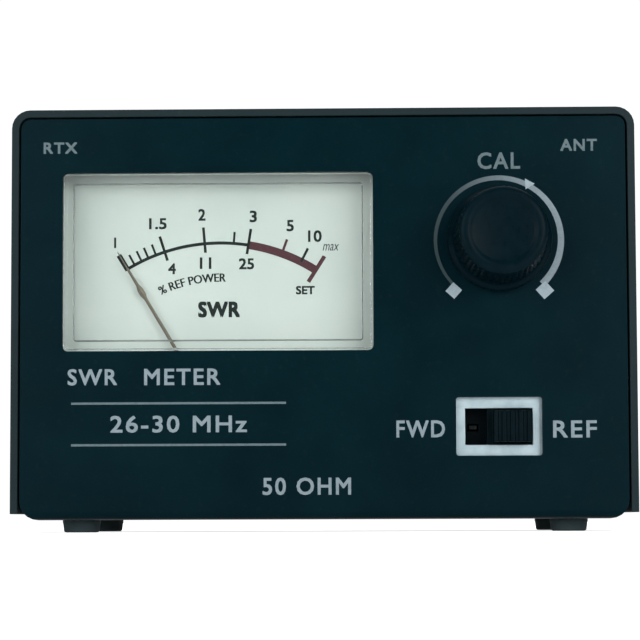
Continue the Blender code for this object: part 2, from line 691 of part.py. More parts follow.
def pot_body():
    """The bushing with its front plate, the wafer that carries the track and lugs, and the can behind."""
    place = (KNOB_X, 0, KNOB_Z)
    plate_front = PANEL_BACK + GAP
    plate_back = plate_front + SHEET
    bushing = [
        (SHAFT_BORE, -BUSHING_END),
        (BUSHING_RADIUS, -BUSHING_END),
        (BUSHING_RADIUS, -plate_front),
        (POT_RADIUS, -plate_front),
        (POT_RADIUS, -plate_back),
        (SHAFT_BORE, -plate_back),
    ]
    turned("pot_bushing", bushing, ZINC, ROUND, ring=True, at=place, turn=FACING_FRONT)

    can_front, inside = plate_back + GAP, POT_BACK - 2 * POT_WALL
    can = [
        (POT_RADIUS - POT_WALL, -can_front),
        (POT_RADIUS, -can_front),
        (POT_RADIUS, -POT_BACK),
        (0, -POT_BACK),
        (0, -inside),
        (POT_RADIUS - POT_WALL, -inside),
    ]
    shell = turned("pot_can", can, ZINC, ROUND, ring=True, at=place, turn=FACING_FRONT)
    notch_width, notch_height, notch_depth = 0.0116, 0.006, 0.0030
    notch = rectangle(notch_width, notch_height, (KNOB_X, KNOB_Z - POT_RADIUS))
    notch_shape = [(notch, can_front - SHEET, can_front + notch_depth)]
    combine(shell, prisms("lug_notch", notch_shape, None), "DIFFERENCE")

    wafer_radius, wafer_gap, wafer_sheet = 0.0074, 0.0004, 0.0010
    front = can_front + wafer_gap
    back = front + wafer_sheet
    wafer = prisms("pot_wafer", [(circle(wafer_radius, ROUND, (KNOB_X, KNOB_Z)), front, back)], LAMINATE)
    lug_top, lug_bottom, lug_width, inset = KNOB_Z - 0.0058, KNOB_Z - POT_LUG_BOTTOM, 0.0014, 0.0002
    lugs = []
    for x in (-LUG_PITCH, 0, LUG_PITCH):
        lug = rectangle(lug_width, lug_top - lug_bottom, (KNOB_X + x, (lug_top + lug_bottom) / 2))
        lugs.append((lug, front + inset, back - inset))
    combine(wafer, prisms("pot_lugs", lugs, None), "UNION")
    bore = [(circle(SHAFT_BORE, centre=(KNOB_X, KNOB_Z)), front - SHEET, back + SHEET)]
    combine(wafer, prisms("wafer_bore", bore, None), "DIFFERENCE")


def pot_fixings():
    inside = BUSHING_RADIUS + GAP
    washer_radius, washer_sheet, nut_radius, nut_length = 0.006, 0.0006, 0.005, 0.0020
    washer = [(inside, 0), (washer_radius, 0), (washer_radius, washer_sheet), (inside, washer_sheet)]
    place = (KNOB_X, PANEL_FRONT - GAP, KNOB_Z)
    turned("pot_washer", washer, ZINC, MIDDLE_ROUND, ring=True, at=place, turn=FACING_FRONT)
    hexagon = circle(nut_radius / math.cos(math.pi / 6), 6, (KNOB_X, KNOB_Z))
    back = PANEL_FRONT - 2 * GAP - washer_sheet
    nut = prisms("pot_nut", [(hexagon, back - nut_length, back)], NICKEL)
    bore = [(circle(inside, MIDDLE_ROUND, (KNOB_X, KNOB_Z)), back - 2 * SHEET, back + SHEET)]
    combine(nut, prisms("nut_bore", bore, None), "DIFFERENCE")


def calibration_control():
    axis = axis_empty("cal_axis", (KNOB_X, 0, KNOB_Z))
    knob(axis)
    shaft(axis)
    wiper(axis)
    pot_body()
    pot_fixings()


# ---------------------------------------------------------------- slide switch

def switch_frame():
    centre = (SWITCH_X, SWITCH_Z)
    plate_front = PANEL_BACK + GAP
    plate_back = plate_front + SWITCH_SHEET
    frame = prisms("switch_frame", [(rectangle(*SWITCH_PLATE, centre), plate_front, plate_back)], NICKEL)
    can = [(rectangle(*SWITCH_CAN, centre), plate_front + SWITCH_SHEET / 2, SWITCH_BACK)]
    combine(frame, prisms("switch_can", can, None), "UNION")
    wall = 2 * SWITCH_SHEET
    hollow = [
        (rectangle(SWITCH_CAN[0] - wall, SWITCH_CAN[1] - wall, centre), plate_back, SWITCH_BACK + SHEET),
        (rectangle(*SWITCH_MOUTH, centre), plate_front - SHEET, plate_back + SWITCH_SHEET),
    ]
    for name, shape in zip(("switch_hollow", "switch_mouth"), hollow):
        combine(frame, prisms(name, [shape], None), "DIFFERENCE")


def switch_slider(travel):
    """The button stands through the frame's mouth, on a wider base that slides behind it."""
    base_front = PANEL_BACK + GAP + SWITCH_SHEET + GAP
    base_back = base_front + SLIDER_BASE_DEPTH
    base = [(rectangle(*SLIDER_BASE), base_front, base_back)]
    slider = prisms("switch_slider", base, KNOB_PLASTIC, parent=travel)
    button = [(rectangle(*SLIDER_TOP, radius=GAP, steps=2), SLIDER_FRONT, base_back - GAP)]
    combine(slider, prisms("slider_button", button, None, parent=travel), "UNION")
    contact_front = base_back + GAP
    contact = [(rectangle(*CONTACT_BAR), contact_front, contact_front + CONTACT_SHEET)]
    prisms("switch_contact", contact, BRASS, parent=travel)


def switch_base():
    centre = (SWITCH_X, SWITCH_Z)
    wall = 2 * (SWITCH_SHEET + GAP)
    back = SWITCH_BACK - 0.0004
    front = back - 0.0012
    blade_size, slot_size, blade_front, blade_tail = (0.0012, 0.0006), (0.0018, 0.0012), 0.0010, 0.0040
    outline = rectangle(SWITCH_CAN[0] - wall, SWITCH_CAN[1] - wall, centre)
    base = prisms("switch_base", [(outline, front, back)], KNOB_PLASTIC)
    slots = []
    for name, step in (("forward", -1), ("common", 0), ("reflected", 1)):
        place = (SWITCH_X + step * SWITCH_PITCH, SWITCH_Z)
        slots.append((rectangle(*slot_size, place), front - SHEET, back + SHEET))
        blade = [(rectangle(*blade_size, place), front - blade_front, back + blade_tail)]
        prisms(f"switch_terminal_{name}", blade, BRASS)
    combine(base, prisms("terminal_slots", slots, None), "DIFFERENCE")


def slide_switch():
    switch_frame()
    switch_slider(axis_empty("switch_travel", (SWITCH_X + SLIDER_REST, 0, SWITCH_Z)))
    switch_base()


# ---------------------------------------------------------------- sockets and coupler

def socket(name, x):
    """A flanged UHF socket. Its shell bears on the panel's outside, and its insulator passes through."""
    seat = REAR_OUTSIDE + GAP
    flange_back = seat + FLANGE_THICKNESS
    neck_end = seat + 0.0010
    barrel_front, relief, relief_length, chamfer = seat + 0.0002, 0.0004, 0.0010, 0.0005
    barrel = [
        (SOCKET_NECK, barrel_front),
        (SOCKET_RADIUS - relief, barrel_front),
        (SOCKET_RADIUS - relief, flange_back + relief_length),
        (SOCKET_RADIUS, flange_back + relief_length + relief),
        (SOCKET_RADIUS, SOCKET_MOUTH - chamfer),
        (SOCKET_RADIUS - chamfer, SOCKET_MOUTH),
        (SOCKET_BORE, SOCKET_MOUTH),
        (SOCKET_BORE, neck_end),
        (SOCKET_NECK, neck_end),
    ]
    place = (x, 0, SOCKET_Z)
    shell = turned(f"{name}_socket_shell", barrel, NICKEL, ROUND, ring=True, at=place, turn=FACING_REAR)
    flange = [(rectangle(FLANGE_WIDTH, FLANGE_WIDTH, (x, SOCKET_Z), FLANGE_THICKNESS / 2), seat, flange_back)]
    plate = prisms(f"{name}_flange", flange, None)
    mouth = [(circle(SOCKET_RADIUS - 2 * chamfer, ROUND, (x, SOCKET_Z)), seat - SHEET, flange_back + SHEET)]
    combine(plate, prisms(f"{name}_flange_bore", mouth, None), "DIFFERENCE")
    combine(shell, plate, "UNION")
    used, spare = socket_hole_places()
    holes = [
        (circle(SCREW_HOLE, 12, (hole_x, hole_z)), seat - SHEET, flange_back + SHEET)
        for hole_x, hole_z in used + spare
        if abs(hole_x - x) < FLANGE_WIDTH / 2
    ]
    combine(shell, prisms(f"{name}_flange_holes", holes, None), "DIFFERENCE")

    tail_end = REAR_INSIDE - 0.0025
    contact_bore, sides = PIN_RADIUS + GAP, MIDDLE_ROUND
    insulator = [
        (contact_bore, DIELECTRIC_FACE),
        (SOCKET_BORE - GAP, DIELECTRIC_FACE),
        (SOCKET_BORE - GAP, neck_end + GAP),
        (SOCKET_NECK - GAP, neck_end + GAP),
        (SOCKET_NECK - GAP, tail_end),
        (PIN_TAIL + GAP, tail_end),
        (PIN_TAIL + GAP, neck_end + 2 * GAP),
        (contact_bore, neck_end + 2 * GAP),
    ]
    turned(f"{name}_socket_insulator", insulator, DIELECTRIC, sides, ring=True, at=place, turn=FACING_REAR)

    shoulder, web, solder_end = neck_end + 3 * GAP, 0.0010, BOARD_BACK - BOARD_THICKNESS - 0.0020
    contact = [
        (PIN_BORE, DIELECTRIC_FACE),
        (PIN_RADIUS, DIELECTRIC_FACE),
        (PIN_RADIUS, shoulder),
        (PIN_TAIL, shoulder),
        (PIN_TAIL, solder_end),
        (0, solder_end),
        (0, shoulder + web),
        (PIN_BORE, shoulder + web),
    ]
    turned(f"{name}_centre_contact", contact, NICKEL, SMALL_ROUND, ring=True, at=place, turn=FACING_REAR)


def socket_screws():
    profile = screw_profile(SCREW_HEAD, SOCKET_SCREW_HEIGHT, SCREW_SHANK, SOCKET_SCREW_LENGTH)
    seat = REAR_OUTSIDE + 2 * GAP + FLANGE_THICKNESS
    used, _ = socket_hole_places()
    names = ("rtx_screw_upper", "rtx_screw_lower", "ant_screw_upper", "ant_screw_lower")
    for name, (x, z) in zip(names, used):
        turned(name, profile, ZINC, SMALL_ROUND, at=(x, seat, z), turn=FACING_REAR)


def coupler():
    """The board hangs on the two centre contacts, with the line between them and its parts beside it."""
    front = BOARD_BACK - BOARD_THICKNESS
    outline = rectangle(*BOARD_SIZE, (0, SOCKET_Z))
    board = prisms("coupler_board", [(outline, front, BOARD_BACK)], LAMINATE)
    holes = [
        (circle(PIN_TAIL + GAP, 12, (x, SOCKET_Z)), front - SHEET, BOARD_BACK + SHEET)
        for x in (-SOCKET_X, SOCKET_X)
    ]
    combine(board, prisms("board_holes", holes, None), "DIFFERENCE")
    line_width, line_sheet = 0.004, 0.0006
    line = rectangle(2 * (SOCKET_X - PIN_TAIL - GAP), line_width, (0, SOCKET_Z))
    prisms("line_conductor", [(line, front - GAP - line_sheet, front - GAP)], COPPER)
    diode, resistor, capacitor = (0.0011, 0.0040), (0.0013, 0.0062), (0.0026, 0.0022)
    for side, sign in (("forward", -1), ("reflected", 1)):
        x = sign * DIODE_X
        lying_part(f"diode_{side}", (x, SOCKET_Z + DIODE_UP), *diode, DIODE_GLASS)
        lying_part(f"resistor_{side}", (x, SOCKET_Z - DIODE_UP), *resistor, CERAMIC)
        disc = circle(capacitor[0], SMALL_ROUND, (sign * CAPACITOR_X, SOCKET_Z - DIODE_UP))
        prisms(f"capacitor_{side}", [(disc, front - GAP - capacitor[1], front - GAP)], CERAMIC)


def lying_part(name, place, radius, length, finish):
    """A round part with a lead at each end, lying along X just off the board."""
    lead, reach, edge = 0.0003, length / 2 + 0.0025, 0.0003
    profile = [
        (0, reach),
        (lead, reach),
        (lead, length / 2),
        (radius, length / 2 - edge),
        (radius, edge - length / 2),
        (lead, -length / 2),
        (lead, -reach),
        (0, -reach),
    ]
    x, z = place
    y = BOARD_BACK - BOARD_THICKNESS - GAP - radius
    turned(name, profile, finish, SMALL_ROUND, at=(x, y, z), turn=FACING_RIGHT)


# ---------------------------------------------------------------- wiring

def wire(name, route, colour):
    """An insulated wire along a smooth curve through the route's points."""
    points = []
    count = len(route)
    for here in range(count - 1):
        before, start = route[max(here - 1, 0)], route[here]
        end, after = route[here + 1], route[min(here + 2, count - 1)]
        for step in range(WIRE_STEPS):
            t = step / WIRE_STEPS
            weights = (
                (-t + 2 * t**2 - t**3) / 2,
                (2 - 5 * t**2 + 3 * t**3) / 2,
                (t + 4 * t**2 - 3 * t**3) / 2,
                (t**3 - t**2) / 2,
            )
            points.append([
                sum(weight * point[axis] for weight, point in zip(weights, (before, start, end, after)))
                for axis in range(3)
            ])
    points.append(route[-1])
    curve = bpy.data.curves.new(name, "CURVE")
    curve.dimensions = "3D"
    curve.bevel_depth = WIRE_RADIUS
    curve.bevel_resolution = 2
    curve.use_fill_caps = True
    curve.materials.append(colour)
    spline = curve.splines.new("POLY")
    spline.points.add(len(points) - 1)
    for place, point in zip(spline.points, points):
        place.co = (*point, 1)
    bpy.context.scene.collection.objects.link(bpy.data.objects.new(name, curve))


def wiring():
    lug_y = PANEL_BACK + 2 * GAP + SHEET + 0.0009
    lug_z = KNOB_Z - POT_LUG_BOTTOM - WIRE_RADIUS - GAP
    terminal_end = HOUSING_INSIDE - GAP + TERMINAL_LENGTH + 2 * GAP
    blade_end = SWITCH_BACK + 0.0042
    board_front = BOARD_BACK - BOARD_THICKNESS - 0.0009
    wire(
        "wire_meter_to_control",
        [
            (WINDOW_X + TERMINAL_X, terminal_end, TERMINAL_Z),
            (WINDOW_X + TERMINAL_X + 0.002, 0.003, TERMINAL_Z - 0.003),
            (0.010, 0.002, 0.034),
            (0.020, -0.008, 0.029),
            (KNOB_X - LUG_PITCH, -0.018, 0.029),
            (KNOB_X - LUG_PITCH, lug_y, lug_z - 0.0012),
        ],
        WIRE_RED,
    )
    wire(
        "wire_control_to_switch",
        [
            (KNOB_X, lug_y, lug_z - 0.0004),
            (KNOB_X, -0.021, lug_z - 0.0035),
            (KNOB_X, -0.014, 0.024),
            (SWITCH_X, -0.0125, 0.018),
            (SWITCH_X, blade_end, SWITCH_Z),
        ],
        WIRE_RED,
    )
    for side, sign in (("forward", -1), ("reflected", 1)):
        x = SWITCH_X + sign * SWITCH_PITCH
        wire(
            f"wire_switch_to_{side}_diode",
            [
                (x, blade_end, SWITCH_Z),
                (x, -0.011, SWITCH_Z - 0.002 - 0.001 * sign),
                (x * 0.8, 0.002, 0.010 - 0.001 * sign),
                (sign * 0.018, 0.012, 0.018),
                (sign * 0.021, 0.017, 0.034),
                (sign * 0.0175, board_front, SOCKET_Z + DIODE_UP),
            ],
            WIRE_RED,
        )


chassis()
cover()
cover_screws()
feet()
meter()
calibration_control()
slide_switch()
socket("rtx", -SOCKET_X)
socket("ant", SOCKET_X)
socket_screws()
coupler()
wiring()
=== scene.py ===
import json
import math

import bmesh
import bpy
from mathutils import Matrix, Vector

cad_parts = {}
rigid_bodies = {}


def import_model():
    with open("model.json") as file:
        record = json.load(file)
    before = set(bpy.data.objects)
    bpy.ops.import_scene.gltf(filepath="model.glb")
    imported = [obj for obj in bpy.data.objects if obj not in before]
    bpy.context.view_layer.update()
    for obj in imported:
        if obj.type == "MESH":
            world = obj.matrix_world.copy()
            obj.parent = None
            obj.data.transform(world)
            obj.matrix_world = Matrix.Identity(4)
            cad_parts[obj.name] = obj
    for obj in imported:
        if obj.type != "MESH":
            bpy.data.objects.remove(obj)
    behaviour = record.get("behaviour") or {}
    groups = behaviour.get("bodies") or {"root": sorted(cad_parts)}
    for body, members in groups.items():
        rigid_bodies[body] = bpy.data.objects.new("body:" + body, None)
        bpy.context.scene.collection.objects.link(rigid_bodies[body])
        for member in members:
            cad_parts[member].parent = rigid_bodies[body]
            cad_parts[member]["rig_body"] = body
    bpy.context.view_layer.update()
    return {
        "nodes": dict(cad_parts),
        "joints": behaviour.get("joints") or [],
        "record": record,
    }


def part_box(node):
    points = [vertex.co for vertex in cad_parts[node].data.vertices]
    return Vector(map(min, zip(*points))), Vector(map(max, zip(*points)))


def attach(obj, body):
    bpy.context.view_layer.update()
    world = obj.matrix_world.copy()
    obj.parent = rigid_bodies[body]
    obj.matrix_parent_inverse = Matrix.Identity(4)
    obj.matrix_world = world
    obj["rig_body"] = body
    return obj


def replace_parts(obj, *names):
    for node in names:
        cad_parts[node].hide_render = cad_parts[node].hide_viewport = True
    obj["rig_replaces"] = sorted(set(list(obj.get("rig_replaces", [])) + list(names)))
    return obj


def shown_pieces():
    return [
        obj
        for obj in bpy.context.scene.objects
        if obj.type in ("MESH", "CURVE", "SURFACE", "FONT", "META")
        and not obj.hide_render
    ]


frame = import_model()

MM = 0.001
INCH = 25.4 * MM

# Places that the CAD gives.
PANEL_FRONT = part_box("chassis")[0].y
REAR_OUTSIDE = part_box("chassis")[1].y
JOINTS = {joint["name"]: joint for joint in frame["joints"]}
KNOB_AXIS = Vector(JOINTS["cal_knob_turn"]["pos_m"])
PIVOT = Vector(JOINTS["pointer_swing"]["pos_m"])
POINTER_SWING = math.radians(JOINTS["pointer_swing"]["range_deg"][1])


# ---------------------------------------------------------------- finishes

class Finish:
    """A material with one Principled shader and a few patterned inputs, in metres of the object."""

    def __init__(self, name, metallic=0.0, specular=0.5, coat=0.0):
        self.material = bpy.data.materials.new(name)
        self.material.use_nodes = True
        self.tree = self.material.node_tree
        self.shader = self.tree.nodes["Principled BSDF"]
        self.shader.inputs["Metallic"].default_value = metallic
        self.shader.inputs["Specular IOR Level"].default_value = specular
        self.shader.inputs["Coat Weight"].default_value = coat
        self.place = self.tree.nodes.new("ShaderNodeTexCoord").outputs["Object"]
        self.normal = None

    def link(self, source, target):
        self.tree.links.new(source, target)

    def stretched(self, stretch):
        mapping = self.tree.nodes.new("ShaderNodeMapping")
        mapping.inputs["Scale"].default_value = stretch
        self.link(self.place, mapping.inputs["Vector"])
        return mapping.outputs["Vector"]

    def noise(self, size, detail=2.0, stretch=None):
        """Soft noise whose features are about size metres across."""
        node = self.tree.nodes.new("ShaderNodeTexNoise")
        node.inputs["Scale"].default_value = 1 / size
        node.inputs["Detail"].default_value = detail
        self.link(self.stretched(stretch) if stretch else self.place, node.inputs["Vector"])
        return node.outputs["Fac"]

    def cells(self, size):
        """Distance from scattered points, about size metres apart."""
        node = self.tree.nodes.new("ShaderNodeTexVoronoi")
        node.inputs["Scale"].default_value = 1 / size
        self.link(self.place, node.inputs["Vector"])
        return node.outputs["Distance"]

    def between(self, value, low, high, start=0.3, end=0.7):
        """Maps a pattern's start to end onto low to high."""
        node = self.tree.nodes.new("ShaderNodeMapRange")
        limits = {"From Min": start, "From Max": end, "To Min": low, "To Max": high}
        for socket, number in limits.items():
            node.inputs[socket].default_value = number
        self.link(value, node.inputs["Value"])
        return node.outputs["Result"]

    def mixed(self, share, first, second):
        """A colour between two, each a colour or another pattern's output."""
        node = self.tree.nodes.new("ShaderNodeMix")
        node.data_type = "RGBA"
        self.link(share, node.inputs["Factor"])
        for socket, colour in zip(("A", "B"), (first, second)):
            entry = [item for item in node.inputs if item.name == socket and item.type == "RGBA"][0]
            if isinstance(colour, tuple):
                entry.default_value = (*colour, 1)
            else:
                self.link(colour, entry)
        return [item for item in node.outputs if item.type == "RGBA"][0]

    def colour(self, output):
        self.link(output, self.shader.inputs["Base Color"])

    def roughness(self, output):
        self.link(output, self.shader.inputs["Roughness"])

    def bump(self, height, depth, strength=1.0):
        """Adds relief, whose full height is depth metres."""
        node = self.tree.nodes.new("ShaderNodeBump")
        node.inputs["Strength"].default_value = strength
        node.inputs["Distance"].default_value = depth
        self.link(height, node.inputs["Height"])
        if self.normal:
            self.link(self.normal, node.inputs["Normal"])
        self.normal = node.outputs["Normal"]
        self.link(self.normal, self.shader.inputs["Normal"])


def enamel(name, colour, lighter, specular, rough):
    """Sprayed stoving enamel: orange peel, a slow drift of tone and a few dust nibs."""
    finish = Finish(name, specular=specular)
    drift = finish.between(finish.noise(9 * MM, 3), 0, 1)
    fleck = finish.between(finish.noise(0.35 * MM, 2), 0, 1, 0.66, 0.80)
    tone = finish.mixed(drift, colour, lighter)
    bright = tuple(part * 1.6 + 0.0008 for part in lighter)
    finish.colour(finish.mixed(fleck, tone, bright))
    finish.roughness(finish.between(finish.noise(1.2 * MM, 3), rough - 0.02, rough + 0.03))
    finish.bump(finish.noise(0.55 * MM, 2), 0.012 * MM, 0.5)
    finish.bump(finish.noise(0.12 * MM, 1), 0.004 * MM, 0.35)
    return finish.material


def plated(name, colour, dull, rough, stretch=(1, 1, 14)):
    """Plated or turned metal: fine drawn lines, and patches where it has dulled."""
    finish = Finish(name, metallic=1.0)
    stain = finish.between(finish.noise(2.6 * MM, 4), 0, 1, 0.38, 0.72)
    finish.colour(finish.mixed(stain, colour, dull))
    lines = finish.noise(0.5 * MM, 3, stretch)
    finish.roughness(finish.between(lines, rough - 0.06, rough + 0.1))
    finish.bump(lines, 0.003 * MM, 0.4)
    finish.bump(finish.noise(0.9 * MM, 2), 0.004 * MM, 0.3)
    return finish.material


def moulded(name, colour, lighter, rough, grain=0.16 * MM, depth=0.006 * MM, specular=0.5):
    """Moulded plastic or rubber: a spark-eroded grain, with a faint marbling of tone."""
    finish = Finish(name, specular=specular)
    finish.colour(finish.mixed(finish.between(finish.noise(2.2 * MM, 4), 0, 1), colour, lighter))
    finish.roughness(finish.between(finish.noise(1.1 * MM, 3), rough - 0.06, rough + 0.08))
    finish.bump(finish.cells(grain), depth, 0.5)
    finish.bump(finish.noise(grain * 5, 2), depth * 1.5, 0.3)
    return finish.material


def ink(name, colour, thin, rough=0.55, fade=None, specular=0.3):
    """Screen-printed ink: slightly uneven cover, with pinholes.

    Fade is (start, end) along X, where the colour goes from the thin one to the full one.
    """
    finish = Finish(name, specular=specular)
    cover = finish.between(finish.noise(0.5 * MM, 3), 0, 1, 0.25, 0.6)
    sparse = tuple(part * 0.85 for part in colour) if fade else thin
    tone = finish.mixed(cover, sparse, colour)
    if fade:
        parts = finish.tree.nodes.new("ShaderNodeSeparateXYZ")
        finish.link(finish.place, parts.inputs[0])
        tone = finish.mixed(finish.between(parts.outputs["X"], 0, 1, *fade), thin, tone)
    finish.colour(tone)
    finish.roughness(finish.between(finish.noise(0.3 * MM, 2), rough - 0.08, rough + 0.08))
    finish.bump(finish.noise(0.1 * MM, 2), 0.004 * MM, 0.4)
    return finish.material


def dial_ground():
    """Matt off-white enamel on the scale plate, with a slow drift of tone and a few darker specks."""
    finish = Finish("dial_ground", specular=0.25)
    wash = finish.between(finish.noise(16 * MM, 2), 0, 1)
    tone = finish.mixed(wash, (0.450, 0.512, 0.484), (0.487, 0.540, 0.512))
    speck = finish.between(finish.noise(0.2 * MM, 2), 0, 1, 0.68, 0.8)
    finish.colour(finish.mixed(speck, tone, (0.34, 0.39, 0.365)))
    finish.roughness(finish.between(finish.noise(0.8 * MM, 2), 0.55, 0.7))
    finish.bump(finish.noise(0.15 * MM, 2), 0.004 * MM, 0.3)
    return finish.material


def clear_acrylic():
    """Clear moulded acrylic with faint handling marks. Lamps light what is behind it."""
    finish = Finish("clear_acrylic")
    finish.shader.inputs["Base Color"].default_value = (0.97, 0.985, 0.98, 1)
    finish.shader.inputs["Transmission Weight"].default_value = 1.0
    finish.shader.inputs["IOR"].default_value = 1.49
    finish.roughness(finish.between(finish.noise(4 * MM, 4), 0.0, 0.05, 0.45, 0.8))
    nodes = finish.tree.nodes
    path = nodes.new("ShaderNodeLightPath")
    through = nodes.new("ShaderNodeBsdfTransparent")
    through.inputs["Color"].default_value = (0.93, 0.95, 0.94, 1)
    mix = nodes.new("ShaderNodeMixShader")
    finish.link(path.outputs["Is Shadow Ray"], mix.inputs["Fac"])
    finish.link(finish.shader.outputs[0], mix.inputs[1])
    finish.link(through.outputs[0], mix.inputs[2])
    finish.link(mix.outputs[0], nodes["Material Output"].inputs["Surface"])
    return finish.material


def laminate():
    """Brown paper laminate with a faint fibre direction."""
    finish = Finish("laminate", specular=0.4)
    fibre = finish.noise(0.8 * MM, 4, (1, 1, 5))
    finish.colour(finish.mixed(finish.between(fibre, 0, 1), (0.22, 0.11, 0.04), (0.36, 0.21, 0.09)))
    finish.roughness(finish.between(fibre, 0.45, 0.65))
    finish.bump(fibre, 0.006 * MM, 0.4)
    return finish.material


FINE_GRAIN = {"grain": 0.12 * MM, "depth": 0.003 * MM}
RING_FADE = (KNOB_AXIS.x - 8 * MM, KNOB_AXIS.x + 8 * MM)

PANEL_PAINT = enamel("panel_paint", (0.0004, 0.0098, 0.0141), (0.0008, 0.0130, 0.0180), 0.04, 0.25)
COVER_PAINT = enamel("cover_paint", (0.0050, 0.0155, 0.0188), (0.0068, 0.0186, 0.0223), 0.14, 0.46)
WHITE_INK = ink("white_ink", (0.240, 0.303, 0.340), (0.195, 0.254, 0.286))
THIN_INK = ink("thin_white_ink", (0.120, 0.170, 0.186), (0.085, 0.132, 0.146))
MARK_INK = ink("mark_ink", (0.350, 0.435, 0.485), (0.300, 0.380, 0.425))
# The ring's colour is darker towards its left end, along X.
RING_INK = ink("ring_ink", (0.250, 0.318, 0.355), (0.024, 0.048, 0.057), fade=RING_FADE)
BLACK_INK = ink("black_ink", (0.004, 0.010, 0.009), (0.009, 0.016, 0.014), specular=0.08)
RED_INK = ink("red_ink", (0.060, 0.022, 0.028), (0.078, 0.030, 0.037), specular=0.08)
NEEDLE_PAINT = ink("needle_paint", (0.120, 0.105, 0.078), (0.165, 0.150, 0.118), 0.45)
DIAL_GROUND = dial_ground()
CLEAR = clear_acrylic()
KNOB_PLASTIC = moulded(
    "knob_plastic", (0.0008, 0.0068, 0.0100), (0.0014, 0.0090, 0.0130), 0.30,
    specular=0.03, **FINE_GRAIN,
)
BUTTON_PLASTIC = moulded(
    "button_plastic", (0.0008, 0.0056, 0.0080), (0.0014, 0.0074, 0.0103), 0.32,
    specular=0.035, **FINE_GRAIN,
)
HOUSING_PLASTIC = moulded("housing_plastic", (0.010, 0.012, 0.012), (0.014, 0.016, 0.016), 0.5)
RUBBER = moulded(
    "foot_rubber", (0.028, 0.050, 0.056), (0.038, 0.062, 0.068), 0.72, 0.3 * MM, 0.02 * MM, 0.3
)
DIELECTRIC = moulded("dielectric", (0.70, 0.69, 0.64), (0.78, 0.77, 0.73), 0.42)
NICKEL = plated("nickel", (0.70, 0.69, 0.66), (0.55, 0.53, 0.49), 0.26)
FRAME_NICKEL = plated("frame_nickel", (0.37, 0.455, 0.490), (0.27, 0.350, 0.385), 0.40)
ZINC = plated("zinc", (0.62, 0.63, 0.65), (0.47, 0.48, 0.50), 0.34)
BRASS = plated("brass", (0.70, 0.50, 0.22), (0.48, 0.32, 0.13), 0.32)
# Brass painted near black: painted shade for the switch's contact and terminals, which lie in shadow
# behind the switch opening.
SHADED_BRASS = plated("shaded_brass", (0.014, 0.018, 0.018), (0.007, 0.011, 0.012), 0.45)
COPPER = plated("copper", (0.72, 0.34, 0.19), (0.46, 0.20, 0.11), 0.36)
IRON = plated("iron", (0.13, 0.13, 0.14), (0.08, 0.07, 0.07), 0.5)
LAMINATE = laminate()
DIODE = moulded("diode_glass", (0.42, 0.14, 0.05), (0.55, 0.22, 0.09), 0.18)
CERAMIC = moulded("component_ceramic", (0.46, 0.30, 0.15), (0.56, 0.40, 0.22), 0.5)
INSULATION = moulded("wire_insulation", (0.38, 0.012, 0.012), (0.48, 0.022, 0.020), 0.4)

# What a CAD node that stays visible is made of: by its material slot, or by its own name.
SLOT_FINISH = {
    "panel_paint": PANEL_PAINT,
    "cover_paint": COVER_PAINT,
    "zinc": ZINC,
    "nickel": NICKEL,
    "foot_rubber": RUBBER,
    "clear_lens": CLEAR,
    "housing_plastic": HOUSING_PLASTIC,
    "knob_plastic": KNOB_PLASTIC,
    "button_plastic": BUTTON_PLASTIC,
    "dial_paint": DIAL_GROUND,
    "pointer_paint": NEEDLE_PAINT,
    "iron": IRON,
    "brass": BRASS,
    "copper": COPPER,
    "dielectric": DIELECTRIC,
    "laminate": LAMINATE,
    "diode_glass": DIODE,
    "component_ceramic": CERAMIC,
    "wire_insulation": INSULATION,
}
NODE_FINISH = {
    "switch_base": BUTTON_PLASTIC,
    # The contact and terminals take the near-black brass, painted shade for where they sit in shadow.
    "switch_contact": SHADED_BRASS,
    "switch_terminal_forward": SHADED_BRASS,
    "switch_terminal_common": SHADED_BRASS,
    "switch_terminal_reflected": SHADED_BRASS,
}
NODE_SLOT = {part["node"]: part["material_slot"] for part in frame["record"]["subparts"]}


# ---------------------------------------------------------------- mesh tools

def arc(centre, radius, start, end, steps):
    """Points from one angle to another, both in degrees, with both ends."""
    angles = [math.radians(start + (end - start) * step / steps) for step in range(steps + 1)]
    return [(centre[0] + radius * math.cos(a), centre[1] + radius * math.sin(a)) for a in angles]


def rectangle(width, height, centre=(0, 0), radius=0.0, steps=5):
    """A rectangle, counter-clockwise, with round corners where radius isn't zero."""
    x, y = centre
    right, top = width / 2 - radius, height / 2 - radius
    corners = [(right, -top, -90), (right, top, 0), (-right, top, 90), (-right, -top, 180)]
    if not radius:
        return [(x + across, y + up) for across, up, _ in corners]
    points = []
    for across, up, start in corners:
        points += arc((x + across, y + up), radius, start, start + 90, steps)
    return points


def add_prism(mesh, outline, low, high, place=lambda u, v, w: (u, w, v)):
    """Adds an outline that runs from low to high, by default along Y."""
    ends = [[mesh.verts.new(place(u, v, w)) for u, v in outline] for w in (low, high)]
    for end in ends:
        mesh.faces.new(end)
    for here in range(len(outline)):
        beyond = (here + 1) % len(outline)
        mesh.faces.new((ends[0][here], ends[0][beyond], ends[1][beyond], ends[1][here]))


def add_rings(mesh, rings, closed):
    """Skins rings of equally many points. A closed skin joins its last ring to its first."""
    rows = [[mesh.verts.new(point) for point in ring] for ring in rings]
    sides = len(rows[0])
    pairs = list(zip(rows, rows[1:]))
    if closed:
        pairs.append((rows[-1], rows[0]))
    for row, following in pairs:
        for here in range(sides):
            beyond = (here + 1) % sides
            mesh.faces.new((row[here], row[beyond], following[beyond], following[here]))
    if not closed:
        mesh.faces.new(rows[0][::-1])
        mesh.faces.new(rows[-1])


